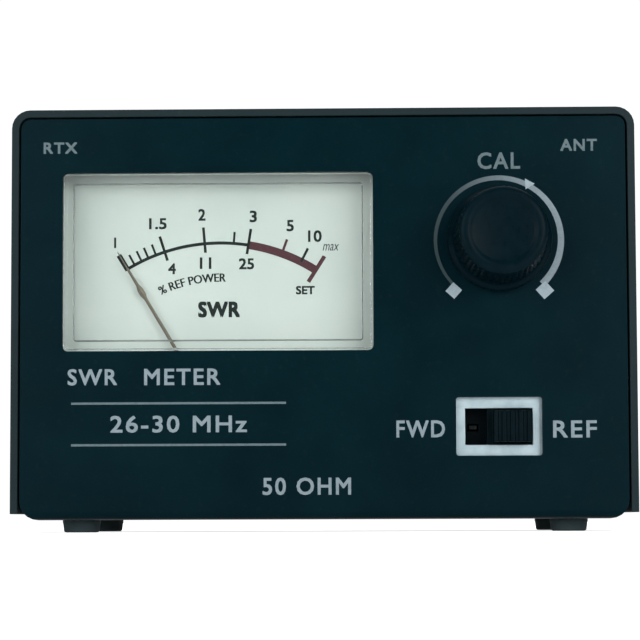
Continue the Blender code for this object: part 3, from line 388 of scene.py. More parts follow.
def finished(name, mesh, finish, bevel=0.0, segments=3, sharp=35):
    """Makes an object of the mesh, with outward faces and smooth shading. Sharp is in degrees."""
    bmesh.ops.recalc_face_normals(mesh, faces=mesh.faces)
    data = bpy.data.meshes.new(name)
    mesh.to_mesh(data)
    mesh.free()
    made = bpy.data.objects.new(name, data)
    bpy.context.scene.collection.objects.link(made)
    if finish:
        data.materials.append(finish)
    data.shade_smooth()
    if bevel:
        round_edges(made, bevel, segments, sharp)
    else:
        data.set_sharp_from_angle(angle=math.radians(sharp))
    return made


def round_edges(made, width, segments=3, angle=35):
    """Rounds the edges that turn by more than an angle, in degrees."""
    change = made.modifiers.new("round_edges", "BEVEL")
    change.width = width
    change.segments = segments
    change.limit_method = "ANGLE"
    change.angle_limit = math.radians(angle)
    change.use_clamp_overlap = True
    weigh = made.modifiers.new("weigh_normals", "WEIGHTED_NORMAL")
    weigh.mode = "FACE_AREA"
    weigh.weight = 80


def combine(target, mesh, operation):
    """Unites the target with a helper solid, or cuts it, and applies that at once."""
    helper = finished("helper", mesh, None)
    change = target.modifiers.new("combine", "BOOLEAN")
    change.operation = operation
    change.object = helper
    others = [item for item in target.modifiers if item != change]
    for item in others:
        item.show_viewport = False
    bpy.context.view_layer.update()
    graph = bpy.context.evaluated_depsgraph_get()
    result = bpy.data.meshes.new_from_object(target.evaluated_get(graph))
    target.modifiers.remove(change)
    for item in others:
        item.show_viewport = True
    result.set_sharp_from_angle(angle=math.radians(32))
    old = target.data
    target.data = result
    bpy.data.meshes.remove(old)
    bpy.data.objects.remove(helper)


def cut_across(target, centre, degrees, length, width, low, high):
    """Cuts a straight slot through a centre (across, up), between two places along Y."""
    turn = math.radians(degrees)
    cosine, sine = math.cos(turn), math.sin(turn)
    bar = [
        (centre[0] + u * cosine - v * sine, centre[1] + u * sine + v * cosine)
        for u, v in rectangle(length, width)
    ]
    cutter = bmesh.new()
    add_prism(cutter, bar, low, high)
    combine(target, cutter, "DIFFERENCE")


def turned(profile, sides, axis_point, direction):
    """A bmesh of (radius, height) points turned about an axis. A profile that leaves it is closed."""
    mesh = bmesh.new()
    points = [mesh.verts.new((radius, 0, height)) for radius, height in profile]
    edges = [mesh.edges.new(pair) for pair in zip(points, points[1:])]
    if profile[0][0] or profile[-1][0]:
        edges.append(mesh.edges.new((points[-1], points[0])))
    full_turn = {"axis": (0, 0, 1), "cent": (0, 0, 0), "angle": math.tau, "use_merge": True}
    bmesh.ops.spin(mesh, geom=points + edges, steps=sides, **full_turn)
    bmesh.ops.remove_doubles(mesh, verts=mesh.verts, dist=1e-8)
    turn = Vector((0, 0, 1)).rotation_difference(Vector(direction)).to_matrix().to_4x4()
    bmesh.ops.transform(mesh, matrix=Matrix.Translation(axis_point) @ turn, verts=mesh.verts)
    return mesh


def stands_for(piece, node):
    """The piece takes a CAD node's place, on its body and with its slot."""
    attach(piece, frame["nodes"][node]["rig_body"])
    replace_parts(piece, node)


def softened(node, name, finish, width, segments=3):
    """The CAD node's own shape, with its edges rounded as a press or a mould leaves them."""
    mesh = bmesh.new()
    mesh.from_mesh(frame["nodes"][node].data)
    bmesh.ops.remove_doubles(mesh, verts=mesh.verts, dist=2e-6)
    bmesh.ops.dissolve_limit(mesh, angle_limit=math.radians(0.6), verts=mesh.verts, edges=mesh.edges)
    stands_for(finished(name, mesh, finish, width, segments), node)


# ---------------------------------------------------------------- lettering

# How much nearer each copy of a letter is than the one before, so that no two share a plane.
LAYER = 0.002 * MM


def lettered(mesh, text, centre, height, width, depth, slant=0.0, spacing=1.0, around=None):
    """Adds text, drawn facing the front, that fills height and width about centre (across, up).

    Depth is (front, back) along Y. Around is the radius of a circle about the origin that the text's
    middle line follows, and centre is then an angle from the top, in radians.
    """
    curve = bpy.data.curves.new("text", "FONT")
    curve.body = text
    curve.resolution_u = 3
    curve.shear = slant
    curve.space_character = spacing
    curve.extrude = 0.5
    flat = bpy.data.objects.new("text", curve)
    bpy.context.scene.collection.objects.link(flat)
    bpy.context.view_layer.update()
    graph = bpy.context.evaluated_depsgraph_get()
    shape = bpy.data.meshes.new_from_object(flat.evaluated_get(graph))
    points = [vertex.co for vertex in shape.vertices]
    low = [min(point[axis] for point in points) for axis in range(2)]
    high = [max(point[axis] for point in points) for axis in range(2)]
    up = height / (high[1] - low[1])
    across = width / (high[0] - low[0])
    front, back = depth
    for vertex in shape.vertices:
        x = (vertex.co.x - (low[0] + high[0]) / 2) * across
        z = (vertex.co.y - (low[1] + high[1]) / 2) * up
        y = front if vertex.co.z > 0 else back
        if around:
            angle = centre + x / around
            vertex.co = ((around + z) * math.sin(angle), y, (around + z) * math.cos(angle))
        else:
            vertex.co = (centre[0] + x, y, centre[1] + z)
    mesh.from_mesh(shape)
    bpy.data.objects.remove(flat)
    bpy.data.meshes.remove(shape)
    bpy.data.curves.remove(curve)


def bold(mesh, text, centre, height, width, extra, spacing, depth):
    """Letters whose strokes are wider by extra: four copies a little apart, each at its own depth."""
    half = extra / 2
    shifts = ((-half, -half), (half, -half), (half, half), (-half, half))
    for number, (across, up) in enumerate(shifts):
        place = (centre[0] + across, centre[1] + up)
        layer = (depth[0] - LAYER * number, depth[1])
        lettered(mesh, text, place, height - extra, width - extra, layer, spacing=spacing)


def moved(mesh, offset):
    """The same mesh, shifted."""
    bmesh.ops.translate(mesh, vec=Vector(offset), verts=mesh.verts)
    return mesh


def sector(inner, outer, start, end, steps):
    """The outline of a piece of ring between two angles from the top, clockwise, in radians."""
    points = []
    for radius, way in ((outer, 1), (inner, -1)):
        for step in range(steps + 1)[::way]:
            angle = start + (end - start) * (step / steps)
            points.append((radius * math.sin(angle), radius * math.cos(angle)))
    return points


def turned_outline(outline, angle, radius=0.0):
    """An outline drawn about a point radius out, turned clockwise from the top by an angle."""
    cosine, sine = math.cos(angle), math.sin(angle)
    return [(u * cosine + (v + radius) * sine, (v + radius) * cosine - u * sine) for u, v in outline]


# ---------------------------------------------------------------- case and panel

softened("chassis", "case_chassis", PANEL_PAINT, 0.22 * MM)
softened("cover", "case_cover", COVER_PAINT, 0.30 * MM, 4)


def hem():
    """The cover's folded hem behind the panel's top edge, which keeps light out of the slit."""
    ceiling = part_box("chassis")[1].z + 0.2 * MM
    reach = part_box("cover")[1].x - 6 * MM
    fold, overlap = 1.3 * MM, 0.35 * MM
    front, back = PANEL_FRONT + 1.6 * MM, PANEL_FRONT + 2.8 * MM
    mesh = bmesh.new()
    add_prism(mesh, rectangle(2 * reach, fold, (0, ceiling - fold / 2 + overlap)), front, back)
    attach(finished("cover_hem", mesh, COVER_PAINT, 0.1 * MM, 2), "case")


hem()

# The ink's front and back along Y. The ring's marks lie over the ring, so they stand prouder.
INK_DEPTH = (PANEL_FRONT - 0.03 * MM, PANEL_FRONT + 0.01 * MM)
MARK_DEPTH = (PANEL_FRONT - 0.04 * MM, PANEL_FRONT + 0.01 * MM)
STROKE = 0.13 * MM
RING_START, RING_END = math.radians(-136), math.radians(136)
RING_OUTSIDE = 10.5 * MM

# Panel lettering: text, its middle, its height and its width, in millimetres.
LOW_LEGENDS = (
    ("SWR", (-37.2, 24.95), 2.65, 8.0),
    ("METER", (-22.7, 24.95), 2.65, 12.3),
    ("FWD", (15.6, 16.4), 2.75, 7.8),
    ("REF", (40.3, 16.3), 2.75, 7.0),
    ("26-30 MHz", (-23.3, 17.35), 2.75, 22.0),
    ("50 OHM", (-2.7, 7.3), 2.8, 14.2),
)
HIGH_LEGENDS = (
    ("RTX", (-42.5, 62.2), 1.85, 5.5),
    ("ANT", (41.4, 62.2), 1.95, 5.9),
    ("CAL", (28.5, 59.7), 2.75, 6.9),
)
RULES = ((-23.3, 14.0), (-23.3, 20.7))
RULE_SIZE = (34.6 * MM, 0.36 * MM)


def ring_thickness(angle):
    """The printed ring grows clockwise, the way the control turns up."""
    share = (angle - RING_START) / (RING_END - RING_START)
    return (0.44 + 0.68 * share) * MM


def panel_print():
    """Legends on the panel: strong ink low down, thinner ink above and for the rules."""
    for name, legends, rules, finish in (
        ("panel_legends", LOW_LEGENDS, (), WHITE_INK),
        ("panel_fine_legends", HIGH_LEGENDS, RULES, THIN_INK),
    ):
        mesh = bmesh.new()
        for text, (x, z), height, width in legends:
            bold(mesh, text, (x * MM, z * MM), height * MM, width * MM, STROKE, 1.15, INK_DEPTH)
        for x, z in rules:
            add_prism(mesh, rectangle(*RULE_SIZE, (x * MM, z * MM)), *INK_DEPTH)
        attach(finished(name, mesh, finish), "case")


def calibration_ring():
    """A ring about the control, with a square at each end and a pointed mark near its top."""
    steps = 96
    angles = [RING_START + (RING_END - RING_START) * step / steps for step in range(steps + 1)]
    outline = [(RING_OUTSIDE * math.sin(angle), RING_OUTSIDE * math.cos(angle)) for angle in angles]
    for angle in angles[::-1]:
        inside = RING_OUTSIDE - ring_thickness(angle)
        outline.append((inside * math.sin(angle), inside * math.cos(angle)))
    ring, marks = bmesh.new(), bmesh.new()
    add_prism(ring, outline, *INK_DEPTH)
    beyond, square_radius = 0.035, 10.95 * MM
    for angle, size in ((RING_START - beyond, 1.9 * MM), (RING_END + beyond, 2.1 * MM)):
        add_prism(marks, turned_outline(rectangle(size, size), angle, square_radius), *MARK_DEPTH)
    wedge = [(-0.9 * MM, 0.6 * MM), (0, -0.9 * MM), (0.9 * MM, 0.6 * MM)]
    wedge_angle, wedge_radius = math.radians(28.0), 10.2 * MM
    add_prism(marks, turned_outline(wedge, wedge_angle, wedge_radius), *MARK_DEPTH)
    for name, mesh, finish in (
        ("calibration_ring", ring, RING_INK),
        ("calibration_marks", marks, MARK_INK),
    ):
        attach(finished(name, moved(mesh, (KNOB_AXIS.x, 0, KNOB_AXIS.z)), finish), "case")


panel_print()
calibration_ring()


# ---------------------------------------------------------------- meter

softened("meter_lens", "meter_window", CLEAR, 0.22 * MM, 4)
softened("scale_plate", "dial_plate", DIAL_GROUND, 0.08 * MM, 2)
DIAL_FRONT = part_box("scale_plate")[0].y
DIAL_INK = (DIAL_FRONT - 0.025 * MM, DIAL_FRONT + 0.01 * MM)
TICK_INK = (DIAL_INK[0] - 0.006 * MM, DIAL_INK[1])

# The dial about the pivot: angles in degrees clockwise from the top, lengths in millimetres.
DIAL_START = -31
DIAL_END = DIAL_START + math.degrees(POINTER_SWING) - 0.2
RED_START = 9.1
ARC_RADIUS = 29.4
TICK_END = 32.1
# Ticks: an angle, then inner radius, outer radius and thickness.
SHORT = (ARC_RADIUS, 31.3, 0.36)
LONG = (27.9, TICK_END, 0.44)
HIGH_SCALE = (ARC_RADIUS, 31.9, 0.42)
BLACK_TICKS = (
    (DIAL_START - 0.2, ARC_RADIUS - 0.2, TICK_END, 0.86),
    (-28.5, *SHORT),
    (-26.0, *SHORT),
    (-23.6, *SHORT),
    (-21.0, *SHORT),
    (-18.0, *LONG),
    (-4.9, *LONG),
    (4.4, *SHORT),
    (RED_START, *LONG),
    (26.9, *HIGH_SCALE),
)
RED_TICKS = ((20.2, *HIGH_SCALE), (DIAL_END, 27.1, TICK_END, 0.66))
# Upright labels: text, angle, radius, height, width.
LABELS = (
    ("1", -30.3, 34.2, 1.75, 0.34),
    ("1.5", -17.4, 34.2, 1.85, 2.9),
    ("2", -5.0, 34.2, 1.95, 1.2),
    ("3", 9.2, 34.2, 1.95, 1.2),
    ("5", 19.7, 34.2, 1.9, 1.2),
    ("10", 27.1, 34.2, 1.95, 2.25),
    ("4", -17.4, 26.4, 1.8, 1.3),
    ("11", -5.2, 26.2, 1.9, 1.9),
    ("25", 9.5, 26.3, 1.85, 2.5),
    ("SET", 33.0, 25.7, 1.4, 3.1),
)


def add_ticks(mesh, ticks):
    """Bars across the arc, each one pointing at the pivot."""
    for degrees, inner, outer, thickness in ticks:
        bar = rectangle(thickness * MM, (outer - inner) * MM)
        middle = (outer + inner) / 2 * MM
        add_prism(mesh, turned_outline(bar, math.radians(degrees), middle), *TICK_INK)


def on_dial(degrees, radius):
    """A place (across, up) from the pivot, in metres."""
    angle = math.radians(degrees)
    return (radius * MM * math.sin(angle), radius * MM * math.cos(angle))


def dial_print():
    """The scale: standing-wave ratio outside the arc, reflected power inside it, and a red zone."""
    black, red = bmesh.new(), bmesh.new()
    for mesh, start, end, half, steps in (
        (black, DIAL_START, RED_START, 0.26, 48),
        (red, RED_START, DIAL_END, 0.66, 32),
    ):
        inner, outer = (ARC_RADIUS - half) * MM, (ARC_RADIUS + half) * MM
        band = sector(inner, outer, math.radians(start), math.radians(end), steps)
        add_prism(mesh, band, *DIAL_INK)
    add_ticks(black, BLACK_TICKS)
    add_ticks(red, RED_TICKS)

    for text, degrees, radius, height, width in LABELS:
        place = on_dial(degrees, radius)
        bold(black, text, place, height * MM, width * MM, STROKE, 1.0, DIAL_INK)
    lettered(black, "max", on_dial(32.5, 33.9), 1.1 * MM, 2.7 * MM, DIAL_INK, slant=0.3)
    curve_radius = 23.7
    for number, across in enumerate((-0.06, 0, 0.06)):
        angle = math.radians(-11.3) + across / curve_radius
        layer = (DIAL_INK[0] - LAYER * number, DIAL_INK[1])
        lettered(black, "% REF POWER", angle, 1.4 * MM, 11.2 * MM, layer, around=curve_radius * MM)
    bold(black, "SWR", (-0.15 * MM, 18.45 * MM), 2.65 * MM, 6.9 * MM, 0.26 * MM, 1.08, DIAL_INK)

    for name, mesh, finish in (("dial_scale", black, BLACK_INK), ("dial_red_zone", red, RED_INK)):
        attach(finished(name, moved(mesh, (PIVOT.x, 0, PIVOT.z)), finish), "case")


def pointer():
    """A tapered blade, folded along its middle for stiffness, with a hub and a balance tail."""
    low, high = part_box("pointer")
    middle = (low.y + high.y) / 2
    length, thickness = 32.6 * MM, 0.12 * MM
    # The share of the length, and half the width in millimetres.
    stations = (
        (-0.17, 0.65), (-0.05, 0.55), (0.04, 0.30), (0.72, 0.27), (0.745, 0.5), (0.775, 0.5),
        (0.80, 0.26), (0.895, 0.21), (0.905, 0.12), (0.985, 0.09), (1.0, 0.03),
    )
    rings = []
    for share, half in stations:
        up, side = share * length, half * MM
        rings.append([(-side, thickness, up), (0, 0, up), (side, thickness, up), (0, -thickness, up)])
    mesh = bmesh.new()
    add_rings(mesh, rings, closed=False)
    rest = Matrix.Rotation(math.radians(DIAL_START), 3, "Y")
    bmesh.ops.rotate(mesh, cent=(0, 0, 0), matrix=rest, verts=mesh.verts)
    moved(mesh, (PIVOT.x, middle, PIVOT.z))
    hub_radius, hub_half, bore = 1.5 * MM, 0.4 * MM, 0.7 * MM
    profile = [(bore, -hub_half), (hub_radius, -hub_half), (hub_radius, hub_half), (bore, hub_half)]
    hub = turned(profile, 32, (PIVOT.x, middle, PIVOT.z), (0, 1, 0))
    helper = bpy.data.meshes.new("hub")
    hub.to_mesh(helper)
    hub.free()
    mesh.from_mesh(helper)
    bpy.data.meshes.remove(helper)
    stands_for(finished("meter_pointer", mesh, NEEDLE_PAINT), "pointer")


dial_print()
pointer()


# ---------------------------------------------------------------- control

def knob():
    """Turned about Y: a fluted body on a plain skirt, a dished face, and a recess and bore behind."""
    low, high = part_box("cal_knob")
    back = high.y
    length = back - low.y
    skirt = (high.x - low.x) / 2
    flutes, flute_depth = 44, 0.22 * MM
    sides = flutes * 6
    # Radius, height over the knob's back, and how much of the flutes' depth shows there.
    outside = [
        (0.4 * MM, length - 0.30 * MM, 0), (4.7 * MM, length - 0.30 * MM, 0),
        (5.0 * MM, length - 0.22 * MM, 0), (5.3 * MM, length - 0.04 * MM, 0), (5.6 * MM, length, 0),
        (6.15 * MM, length, 0), (6.5 * MM, length - 0.07 * MM, 0),
        (6.78 * MM, length - 0.26 * MM, 0), (6.95 * MM, length - 0.6 * MM, 0.3),
        (7.0 * MM, length - 1.0 * MM, 1), (7.12 * MM, length - 4.0 * MM, 1),
        (7.3 * MM, length - 8.0 * MM, 1), (7.42 * MM, 4.1 * MM, 1), (7.46 * MM, 3.6 * MM, 0.2),
        (7.6 * MM, 3.2 * MM, 0), (7.9 * MM, 2.95 * MM, 0), (skirt - 0.2 * MM, 2.7 * MM, 0),
        (skirt - 0.05 * MM, 2.5 * MM, 0), (skirt, 2.2 * MM, 0), (skirt, 0.3 * MM, 0),
        (skirt - 0.1 * MM, 0.06 * MM, 0), (skirt - 0.3 * MM, 0, 0),
    ]
    recess, bore = 4.0 * MM, 3.3 * MM
    inside = [
        (6.8 * MM, 0, 0), (6.6 * MM, 0.2 * MM, 0), (6.6 * MM, recess, 0), (bore, recess, 0),
        (bore, length - 2.2 * MM, 0),
    ]
    rings = []
    for radius, height, share in outside + inside:
        ring = []
        for side in range(sides):
            angle = math.tau * side / sides
            groove = (0.5 - 0.5 * math.cos(flutes * angle)) ** 2
            reach = radius - flute_depth * share * groove
            x, z = KNOB_AXIS.x + reach * math.cos(angle), KNOB_AXIS.z + reach * math.sin(angle)
            ring.append((x, back - height, z))
        rings.append(ring)
    mesh = bmesh.new()
    add_rings(mesh, rings, closed=False)
    stands_for(finished("control_knob", mesh, KNOB_PLASTIC, sharp=50), "cal_knob")


knob()


# ---------------------------------------------------------------- switch

softened("switch_frame", "switch_housing", FRAME_NICKEL, 0.12 * MM)


def switch_button():
    """The slider's button with ribs across its face for the thumb, on its wider base."""
    low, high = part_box("switch_slider")
    centre_x = (low.x + high.x) / 2
    centre_z = (low.z + high.z) / 2
    base_front, base_back = high.y - 1.6 * MM, high.y
    base = rectangle(high.x - low.x, high.z - low.z, (centre_x, centre_z))
    mesh = bmesh.new()
    add_prism(mesh, base, base_front, base_back)
    made = finished("switch_button", mesh, BUTTON_PLASTIC, 0.12 * MM)
    front = low.y
    width, height = 6.0 * MM, 5.0 * MM
    ribs, land, groove, flank = 5, 0.62 * MM, 0.35 * MM, 0.14 * MM
    pitch = (width - land) / (ribs - 1)
    rib_front, foot = front + groove * 0.1, base_back - 0.4 * MM
    profile = [(-width / 2, foot), (-width / 2, front)]
    for rib in range(ribs):
        start = -width / 2 + rib * pitch
        last = rib == ribs - 1
        if rib:
            profile.append((start, rib_front))
        profile.append((start + land, front if last else rib_front))
        if not last:
            profile.append((start + land + flank, front + groove))
            profile.append((start + pitch - flank, front + groove))
    profile.append((width / 2, foot))
    button = bmesh.new()
    outline = [(centre_x + x, y) for x, y in profile]
    floor, ceiling = centre_z - height / 2, centre_z + height / 2
    add_prism(button, outline, floor, ceiling, lambda u, v, w: (u, v, w))
    combine(made, button, "UNION")
    stands_for(made, "switch_slider")


switch_button()


# ---------------------------------------------------------------- fixings and feet

def screw_profile(span, head, radius):
    """(radius, height) from the tip: a threaded shank, then a low rim with a dome over it."""
    shank, dome = span - head, head * 0.7
    rim = shank + head * 0.3
    core, crest, pitch = 1.15 * MM, 1.4 * MM, 0.5 * MM
    height = 0.9 * MM
    profile = [(0, 0), (core * 0.5, 0.35 * MM), (core, height)]
    while height + pitch < shank - 0.2 * MM:
        profile += [(crest, height + pitch * 0.5), (core, height + pitch)]
        height += pitch
    profile += [(core, shank), (radius - 0.1 * MM, shank), (radius, shank + 0.1 * MM)]
    profile.append((radius, rim))
    steps = 8
    for step in range(1, steps):
        angle = math.radians(90 * step / steps)
        profile.append((radius * math.cos(angle) ** 0.55, rim + dome * math.sin(angle)))
    return profile + [(0, rim + dome)]


def pan_head(node, direction, name):
    """A pan-head screw with a cross recess, where the CAD screw is."""
    low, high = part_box(node)
    direction = Vector(direction)
    span = abs((high - low).dot(direction))
    tip = (low + high) / 2 - direction * span / 2
    head = 1.0 * MM if node.startswith("cover") else 1.6 * MM
    made = finished(name, turned(screw_profile(span, head, 2.7 * MM), 40, tip, direction), ZINC)

    facing = Vector((0, 0, 1)).rotation_difference(direction).to_matrix().to_4x4()
    twist = Matrix.Rotation(math.radians(20), 4, "Z")
    place = Matrix.Translation(tip + direction * span) @ facing @ twist
    depth = head * 0.72
    # Each arm of the cross narrows towards its floor, along its length most.
    for size, narrowing in (((3.0, 0.62), (0.45, 0.8)), ((0.62, 3.0), (0.8, 0.45))):
        mouth = rectangle(size[0] * MM, size[1] * MM)
        floor = [(u * narrowing[0], v * narrowing[1], -depth) for u, v in mouth]
        arm = bmesh.new()
        add_rings(arm, [[(u, v, depth * 0.3) for u, v in mouth], floor], closed=False)
        bmesh.ops.transform(arm, matrix=place, verts=arm.verts)
        combine(made, arm, "DIFFERENCE")
    round_edges(made, 0.06 * MM, 2, 40)
    stands_for(made, node)


for end in ("front", "rear"):
    pan_head(f"cover_screw_left_{end}", (-1, 0, 0), f"side_screw_left_{end}")
    pan_head(f"cover_screw_right_{end}", (1, 0, 0), f"side_screw_right_{end}")
for socket_name in ("rtx", "ant"):
    for end in ("upper", "lower"):
        pan_head(f"{socket_name}_screw_{end}", (0, 1, 0), f"{socket_name}_flange_screw_{end}")


def rubber_foot(node):
    """A moulded foot: rounded sides, a slightly hollow underside and its peg above."""
    low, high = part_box(node)
    centre = Vector(((low.x + high.x) / 2, (low.y + high.y) / 2, 0))
    radius = (high.x - low.x) / 2
    shoulder, case_floor = 1.7 * MM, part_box("chassis")[0].z
    rounding, flat = 0.45 * MM, radius - 0.62 * MM
    peg = 1.2 * MM
    hollow = [(0, 0.18 * MM), (1.1 * MM, 0.15 * MM), (1.6 * MM, 0.02 * MM), (1.8 * MM, 0)]
    profile = [*hollow, (flat, 0)]
    for degrees in (22, 45, 67, 90):
        angle = math.radians(degrees)
        profile.append((flat + rounding * math.sin(angle), rounding * (1 - math.cos(angle))))
    profile += [
        (radius - 0.05 * MM, shoulder - 0.25 * MM), (radius, shoulder - 0.15 * MM),
        (radius, case_floor), (peg, case_floor), (peg, high.z - 0.25 * MM), (0.95 * MM, high.z),
        (0, high.z),
    ]
    mesh = turned(profile, 56, centre, (0, 0, 1))
    stands_for(finished(f"rubber_{node}", mesh, RUBBER, sharp=50), node)


for side in ("left", "right"):
    for end in ("front", "rear"):
        rubber_foot(f"foot_{side}_{end}")


# ---------------------------------------------------------------- sockets

FLANGE_THICKNESS = 1.6 * MM
FLANGE_HOLE = 9.15 * MM


def ring_at(radius, y, centre, sides):
    """The points of a circle about an axis along Y."""
    angles = [math.tau * side / sides for side in range(sides)]
    return [(centre[0] + radius * math.cos(a), y, centre[1] + radius * math.sin(a)) for a in angles]


def socket_shell(prefix):
    """A square flange with four holes, and a barrel with a 24-per-inch thread and a notched rim."""
    node = f"{prefix}_socket_shell"
    low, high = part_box(node)
    centre = ((low.x + high.x) / 2, (low.z + high.z) / 2)
    front, mouth = low.y, high.y
    flange_back = front + FLANGE_THICKNESS
    major, pitch, thread_depth = 7.94 * MM, INCH / 24, 0.55 * MM
    minor = major - thread_depth
    bore, neck, neck_end = 6.3 * MM, 5.0 * MM, front + 1.0 * MM
    sides, rows_per_turn = 72, 12
    start, end = flange_back + 0.9 * MM, mouth - 0.35 * MM
    rows = round((end - start) / pitch * rows_per_turn)
    rings = [ring_at(minor, front + 0.2 * MM, centre, sides), ring_at(minor, start, centre, sides)]
    for row in range(1, rows):
        y = start + (end - start) * row / rows
        ramp = min(1, (y - start) / (0.5 * pitch), (end - y) / (0.5 * pitch))
        ring = []
        for side in range(sides):
            share = side / sides
            phase = ((y - start) / pitch - share) % 1
            flank = min(1, max(0, 1.7 - 4 * abs(phase - 0.5)))
            radius = minor + thread_depth * ramp * flank
            angle = math.tau * share
            x, z = centre[0] + radius * math.cos(angle), centre[1] + radius * math.sin(angle)
            ring.append((x, y, z))
        rings.append(ring)
    for radius, y in (
        (minor, end), (minor - 0.1 * MM, mouth - 0.1 * MM), (minor - 0.25 * MM, mouth),
        (bore + 0.15 * MM, mouth), (bore, mouth - 0.15 * MM), (bore, neck_end), (neck, neck_end),
        (neck, front + 0.2 * MM),
    ):
        rings.append(ring_at(radius, y, centre, sides))
    mesh = bmesh.new()
    add_rings(mesh, rings, closed=True)
    made = finished(f"{prefix}_threaded_shell", mesh, NICKEL, sharp=32)

    plate = bmesh.new()
    add_prism(plate, rectangle(INCH, INCH, centre, 0.8 * MM), front, flange_back)
    bored = finished(f"{prefix}_flange", plate, NICKEL)
    holes = bmesh.new()
    add_prism(holes, arc(centre, minor - 0.6 * MM, 0, 360, 48)[:-1], front - MM, flange_back + MM)
    for across in (-FLANGE_HOLE, FLANGE_HOLE):
        for up in (-FLANGE_HOLE, FLANGE_HOLE):
            place = (centre[0] + across, centre[1] + up)
            add_prism(holes, arc(place, 1.8 * MM, 0, 360, 28)[:-1], front - MM, flange_back + MM)
    combine(bored, holes, "DIFFERENCE")
    plate = bmesh.new()
    plate.from_mesh(bored.data)
    bpy.data.objects.remove(bored)
    combine(made, plate, "UNION")

    for degrees in (22.5, 112.5):
        cut_across(made, centre, degrees, 2.4 * major, 0.9 * MM, mouth - 0.5 * MM, mouth + MM)
    stands_for(made, node)
    return centre


def socket_core(prefix, centre):
    """The moulded insulator, and the centre contact with its four slots."""
    node = f"{prefix}_socket_insulator"
    low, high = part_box(node)
    back, face = low.y, high.y - low.y
    outer, neck, contact_bore = 6.0 * MM, 4.7 * MM, 2.9 * MM
    step = REAR_OUTSIDE + FLANGE_THICKNESS - back
    groove = face - 0.35 * MM
    profile = [
        (contact_bore, 0.15 * MM), (contact_bore + 0.15 * MM, 0), (neck - 0.2 * MM, 0),
        (neck, 0.2 * MM), (neck, step), (outer, step), (outer, face - 0.3 * MM),
        (outer - 0.3 * MM, face), (4.9 * MM, face), (4.7 * MM, groove), (3.9 * MM, groove),
        (3.7 * MM, face), (contact_bore, face),
    ]
    place = (centre[0], back, centre[1])
    mesh = turned(profile, 56, place, (0, 1, 0))
    stands_for(finished(f"{prefix}_insulator", mesh, DIELECTRIC, 0.05 * MM, 2), node)

    node = f"{prefix}_centre_contact"
    low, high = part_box(node)
    length = high.y - low.y
    tail, wide, inner = 1.7 * MM, 2.6 * MM, 2.0 * MM
    shoulder = REAR_OUTSIDE + 2.2 * MM - low.y
    profile = [
        (0, 0), (tail - 0.2 * MM, 0), (tail, 0.2 * MM), (tail, shoulder), (wide, shoulder),
        (wide, length - 0.25 * MM), (wide - 0.2 * MM, length), (inner + 0.2 * MM, length),
        (inner, length - 0.2 * MM), (inner, shoulder + 1.0 * MM), (0, shoulder + 1.0 * MM),
    ]
    mesh = turned(profile, 40, (centre[0], low.y, centre[1]), (0, 1, 0))
    made = finished(f"{prefix}_contact", mesh, BRASS)
    for degrees in (45, 135):
        cut_across(made, centre, degrees, 2.4 * wide, 0.35 * MM, high.y - 3.4 * MM, high.y + MM)
    round_edges(made, 0.05 * MM, 2, 40)
    stands_for(made, node)


for socket_name in ("rtx", "ant"):
    socket_core(socket_name, socket_shell(socket_name))


# ---------------------------------------------------------------- what stays as the CAD has it

REPLACED = {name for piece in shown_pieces() for name in piece.get("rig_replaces", [])}
for node, shown in frame["nodes"].items():
    if node in REPLACED:
        continue
    shown.data.materials.clear()
    shown.data.materials.append(NODE_FINISH.get(node, SLOT_FINISH[NODE_SLOT[node]]))


# ---------------------------------------------------------------- stage, lights and camera

def stage():
    """A plain pale floor under the feet, like the white table of a light tent.

    The camera sees it glow, and reflections see part of that. It lights nothing.
    """
    finish = Finish("floor", specular=0.1)
    finish.colour(finish.mixed(finish.noise(0.4, 2), (0.86, 0.87, 0.87), (0.90, 0.90, 0.90)))
    finish.shader.inputs["Roughness"].default_value = 0.9
    nodes = finish.tree.nodes
    glow = nodes.new("ShaderNodeEmission")
    glow.inputs["Strength"].default_value = 0.75
    path = nodes.new("ShaderNodeLightPath")
    seen = nodes.new("ShaderNodeMixShader")
    both = nodes.new("ShaderNodeAddShader")
    finish.link(finish.shader.outputs[0], both.inputs[0])
    finish.link(glow.outputs[0], both.inputs[1])
    share = nodes.new("ShaderNodeMath")
    share.operation = "MULTIPLY_ADD"
    share.inputs[1].default_value = 0.45
    finish.link(path.outputs["Is Glossy Ray"], share.inputs[0])
    finish.link(path.outputs["Is Camera Ray"], share.inputs[2])
    finish.link(share.outputs[0], seen.inputs["Fac"])
    finish.link(finish.shader.outputs[0], seen.inputs[1])
    finish.link(both.outputs[0], seen.inputs[2])
    finish.link(seen.outputs[0], nodes["Material Output"].inputs["Surface"])
    mesh = bmesh.new()
    reach = 1.5
    corners = ((-reach, -reach), (reach, -reach), (reach, reach), (-reach, reach))
    mesh.faces.new([mesh.verts.new((x, y, 0)) for x, y in corners])
    finished("floor", mesh, finish.material)


def lamp(name, place, target, size, power):
    """A soft rectangular lamp that faces the target. Size is in metres, power in watts."""
    data = bpy.data.lights.new(name, "AREA")
    data.shape = "RECTANGLE"
    data.size, data.size_y = size
    data.energy = power
    made = bpy.data.objects.new(name, data)
    made.location = place
    made.rotation_mode = "QUATERNION"
    made.rotation_quaternion = (Vector(target) - Vector(place)).to_track_quat("-Z", "Y")
    bpy.context.scene.collection.objects.link(made)


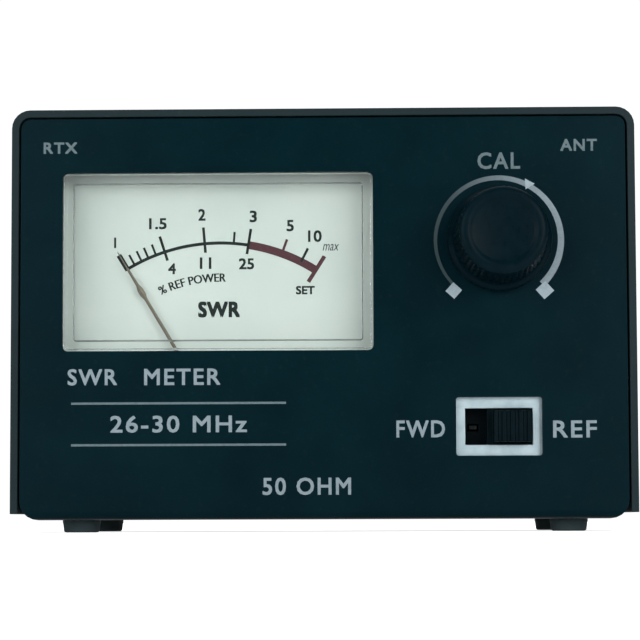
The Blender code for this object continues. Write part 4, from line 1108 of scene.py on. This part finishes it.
def studio():
    """A white background that lights the object only faintly, and four soft lamps."""
    world = bpy.data.worlds.new("studio")
    world.use_nodes = True
    nodes, links = world.node_tree.nodes, world.node_tree.links
    ambient = nodes["Background"]
    ambient.inputs["Color"].default_value = (0.95, 0.98, 1, 1)
    ambient.inputs["Strength"].default_value = 0.13
    seen = nodes.new("ShaderNodeBackground")
    seen.inputs["Color"].default_value = (1, 1, 1, 1)
    seen.inputs["Strength"].default_value = 1.05
    path = nodes.new("ShaderNodeLightPath")
    mix = nodes.new("ShaderNodeMixShader")
    links.new(path.outputs["Is Camera Ray"], mix.inputs["Fac"])
    links.new(ambient.outputs[0], mix.inputs[1])
    links.new(seen.outputs[0], mix.inputs[2])
    links.new(mix.outputs[0], nodes["World Output"].inputs["Surface"])
    bpy.context.scene.world = world
    aim = (0, 0, 0.035)
    lamp("key", (0.55, -1.00, 0.27), aim, (0.7, 0.45), 6.4)
    lamp("fill", (-0.60, -0.95, 0.25), aim, (0.8, 0.42), 5.0)
    lamp("top", (0, 0.1, 1.1), aim, (1.4, 1.4), 11.0)
    lamp("rear", (0.3, 1.0, 0.7), aim, (0.9, 0.9), 6.0)
    bpy.context.scene.view_settings.view_transform = "Standard"


def camera():
    """Just above the floor and in front, aimed a little up, with a slight turn and roll."""
    yaw, pitch, roll = math.radians(1.14), math.radians(4.5), math.radians(-0.2)
    eye = (7.6 * MM, -436.4 * MM, 2 * MM)
    data = bpy.data.cameras.new("camera")
    data.sensor_width = 36
    data.lens = 142.5
    data.clip_start, data.clip_end = 0.02, 20
    made = bpy.data.objects.new("camera", data)
    ahead = math.cos(pitch)
    forward = Vector((-math.sin(yaw) * ahead, math.cos(yaw) * ahead, math.sin(pitch)))
    level = Vector((math.cos(yaw), math.sin(yaw), 0))
    right = Matrix.Rotation(-roll, 3, forward) @ level
    turn = Matrix((right, right.cross(forward), -forward)).transposed()
    made.matrix_world = Matrix.Translation(eye) @ turn.to_4x4()
    bpy.context.scene.collection.objects.link(made)
    bpy.context.scene.camera = made


stage()
studio()
camera()
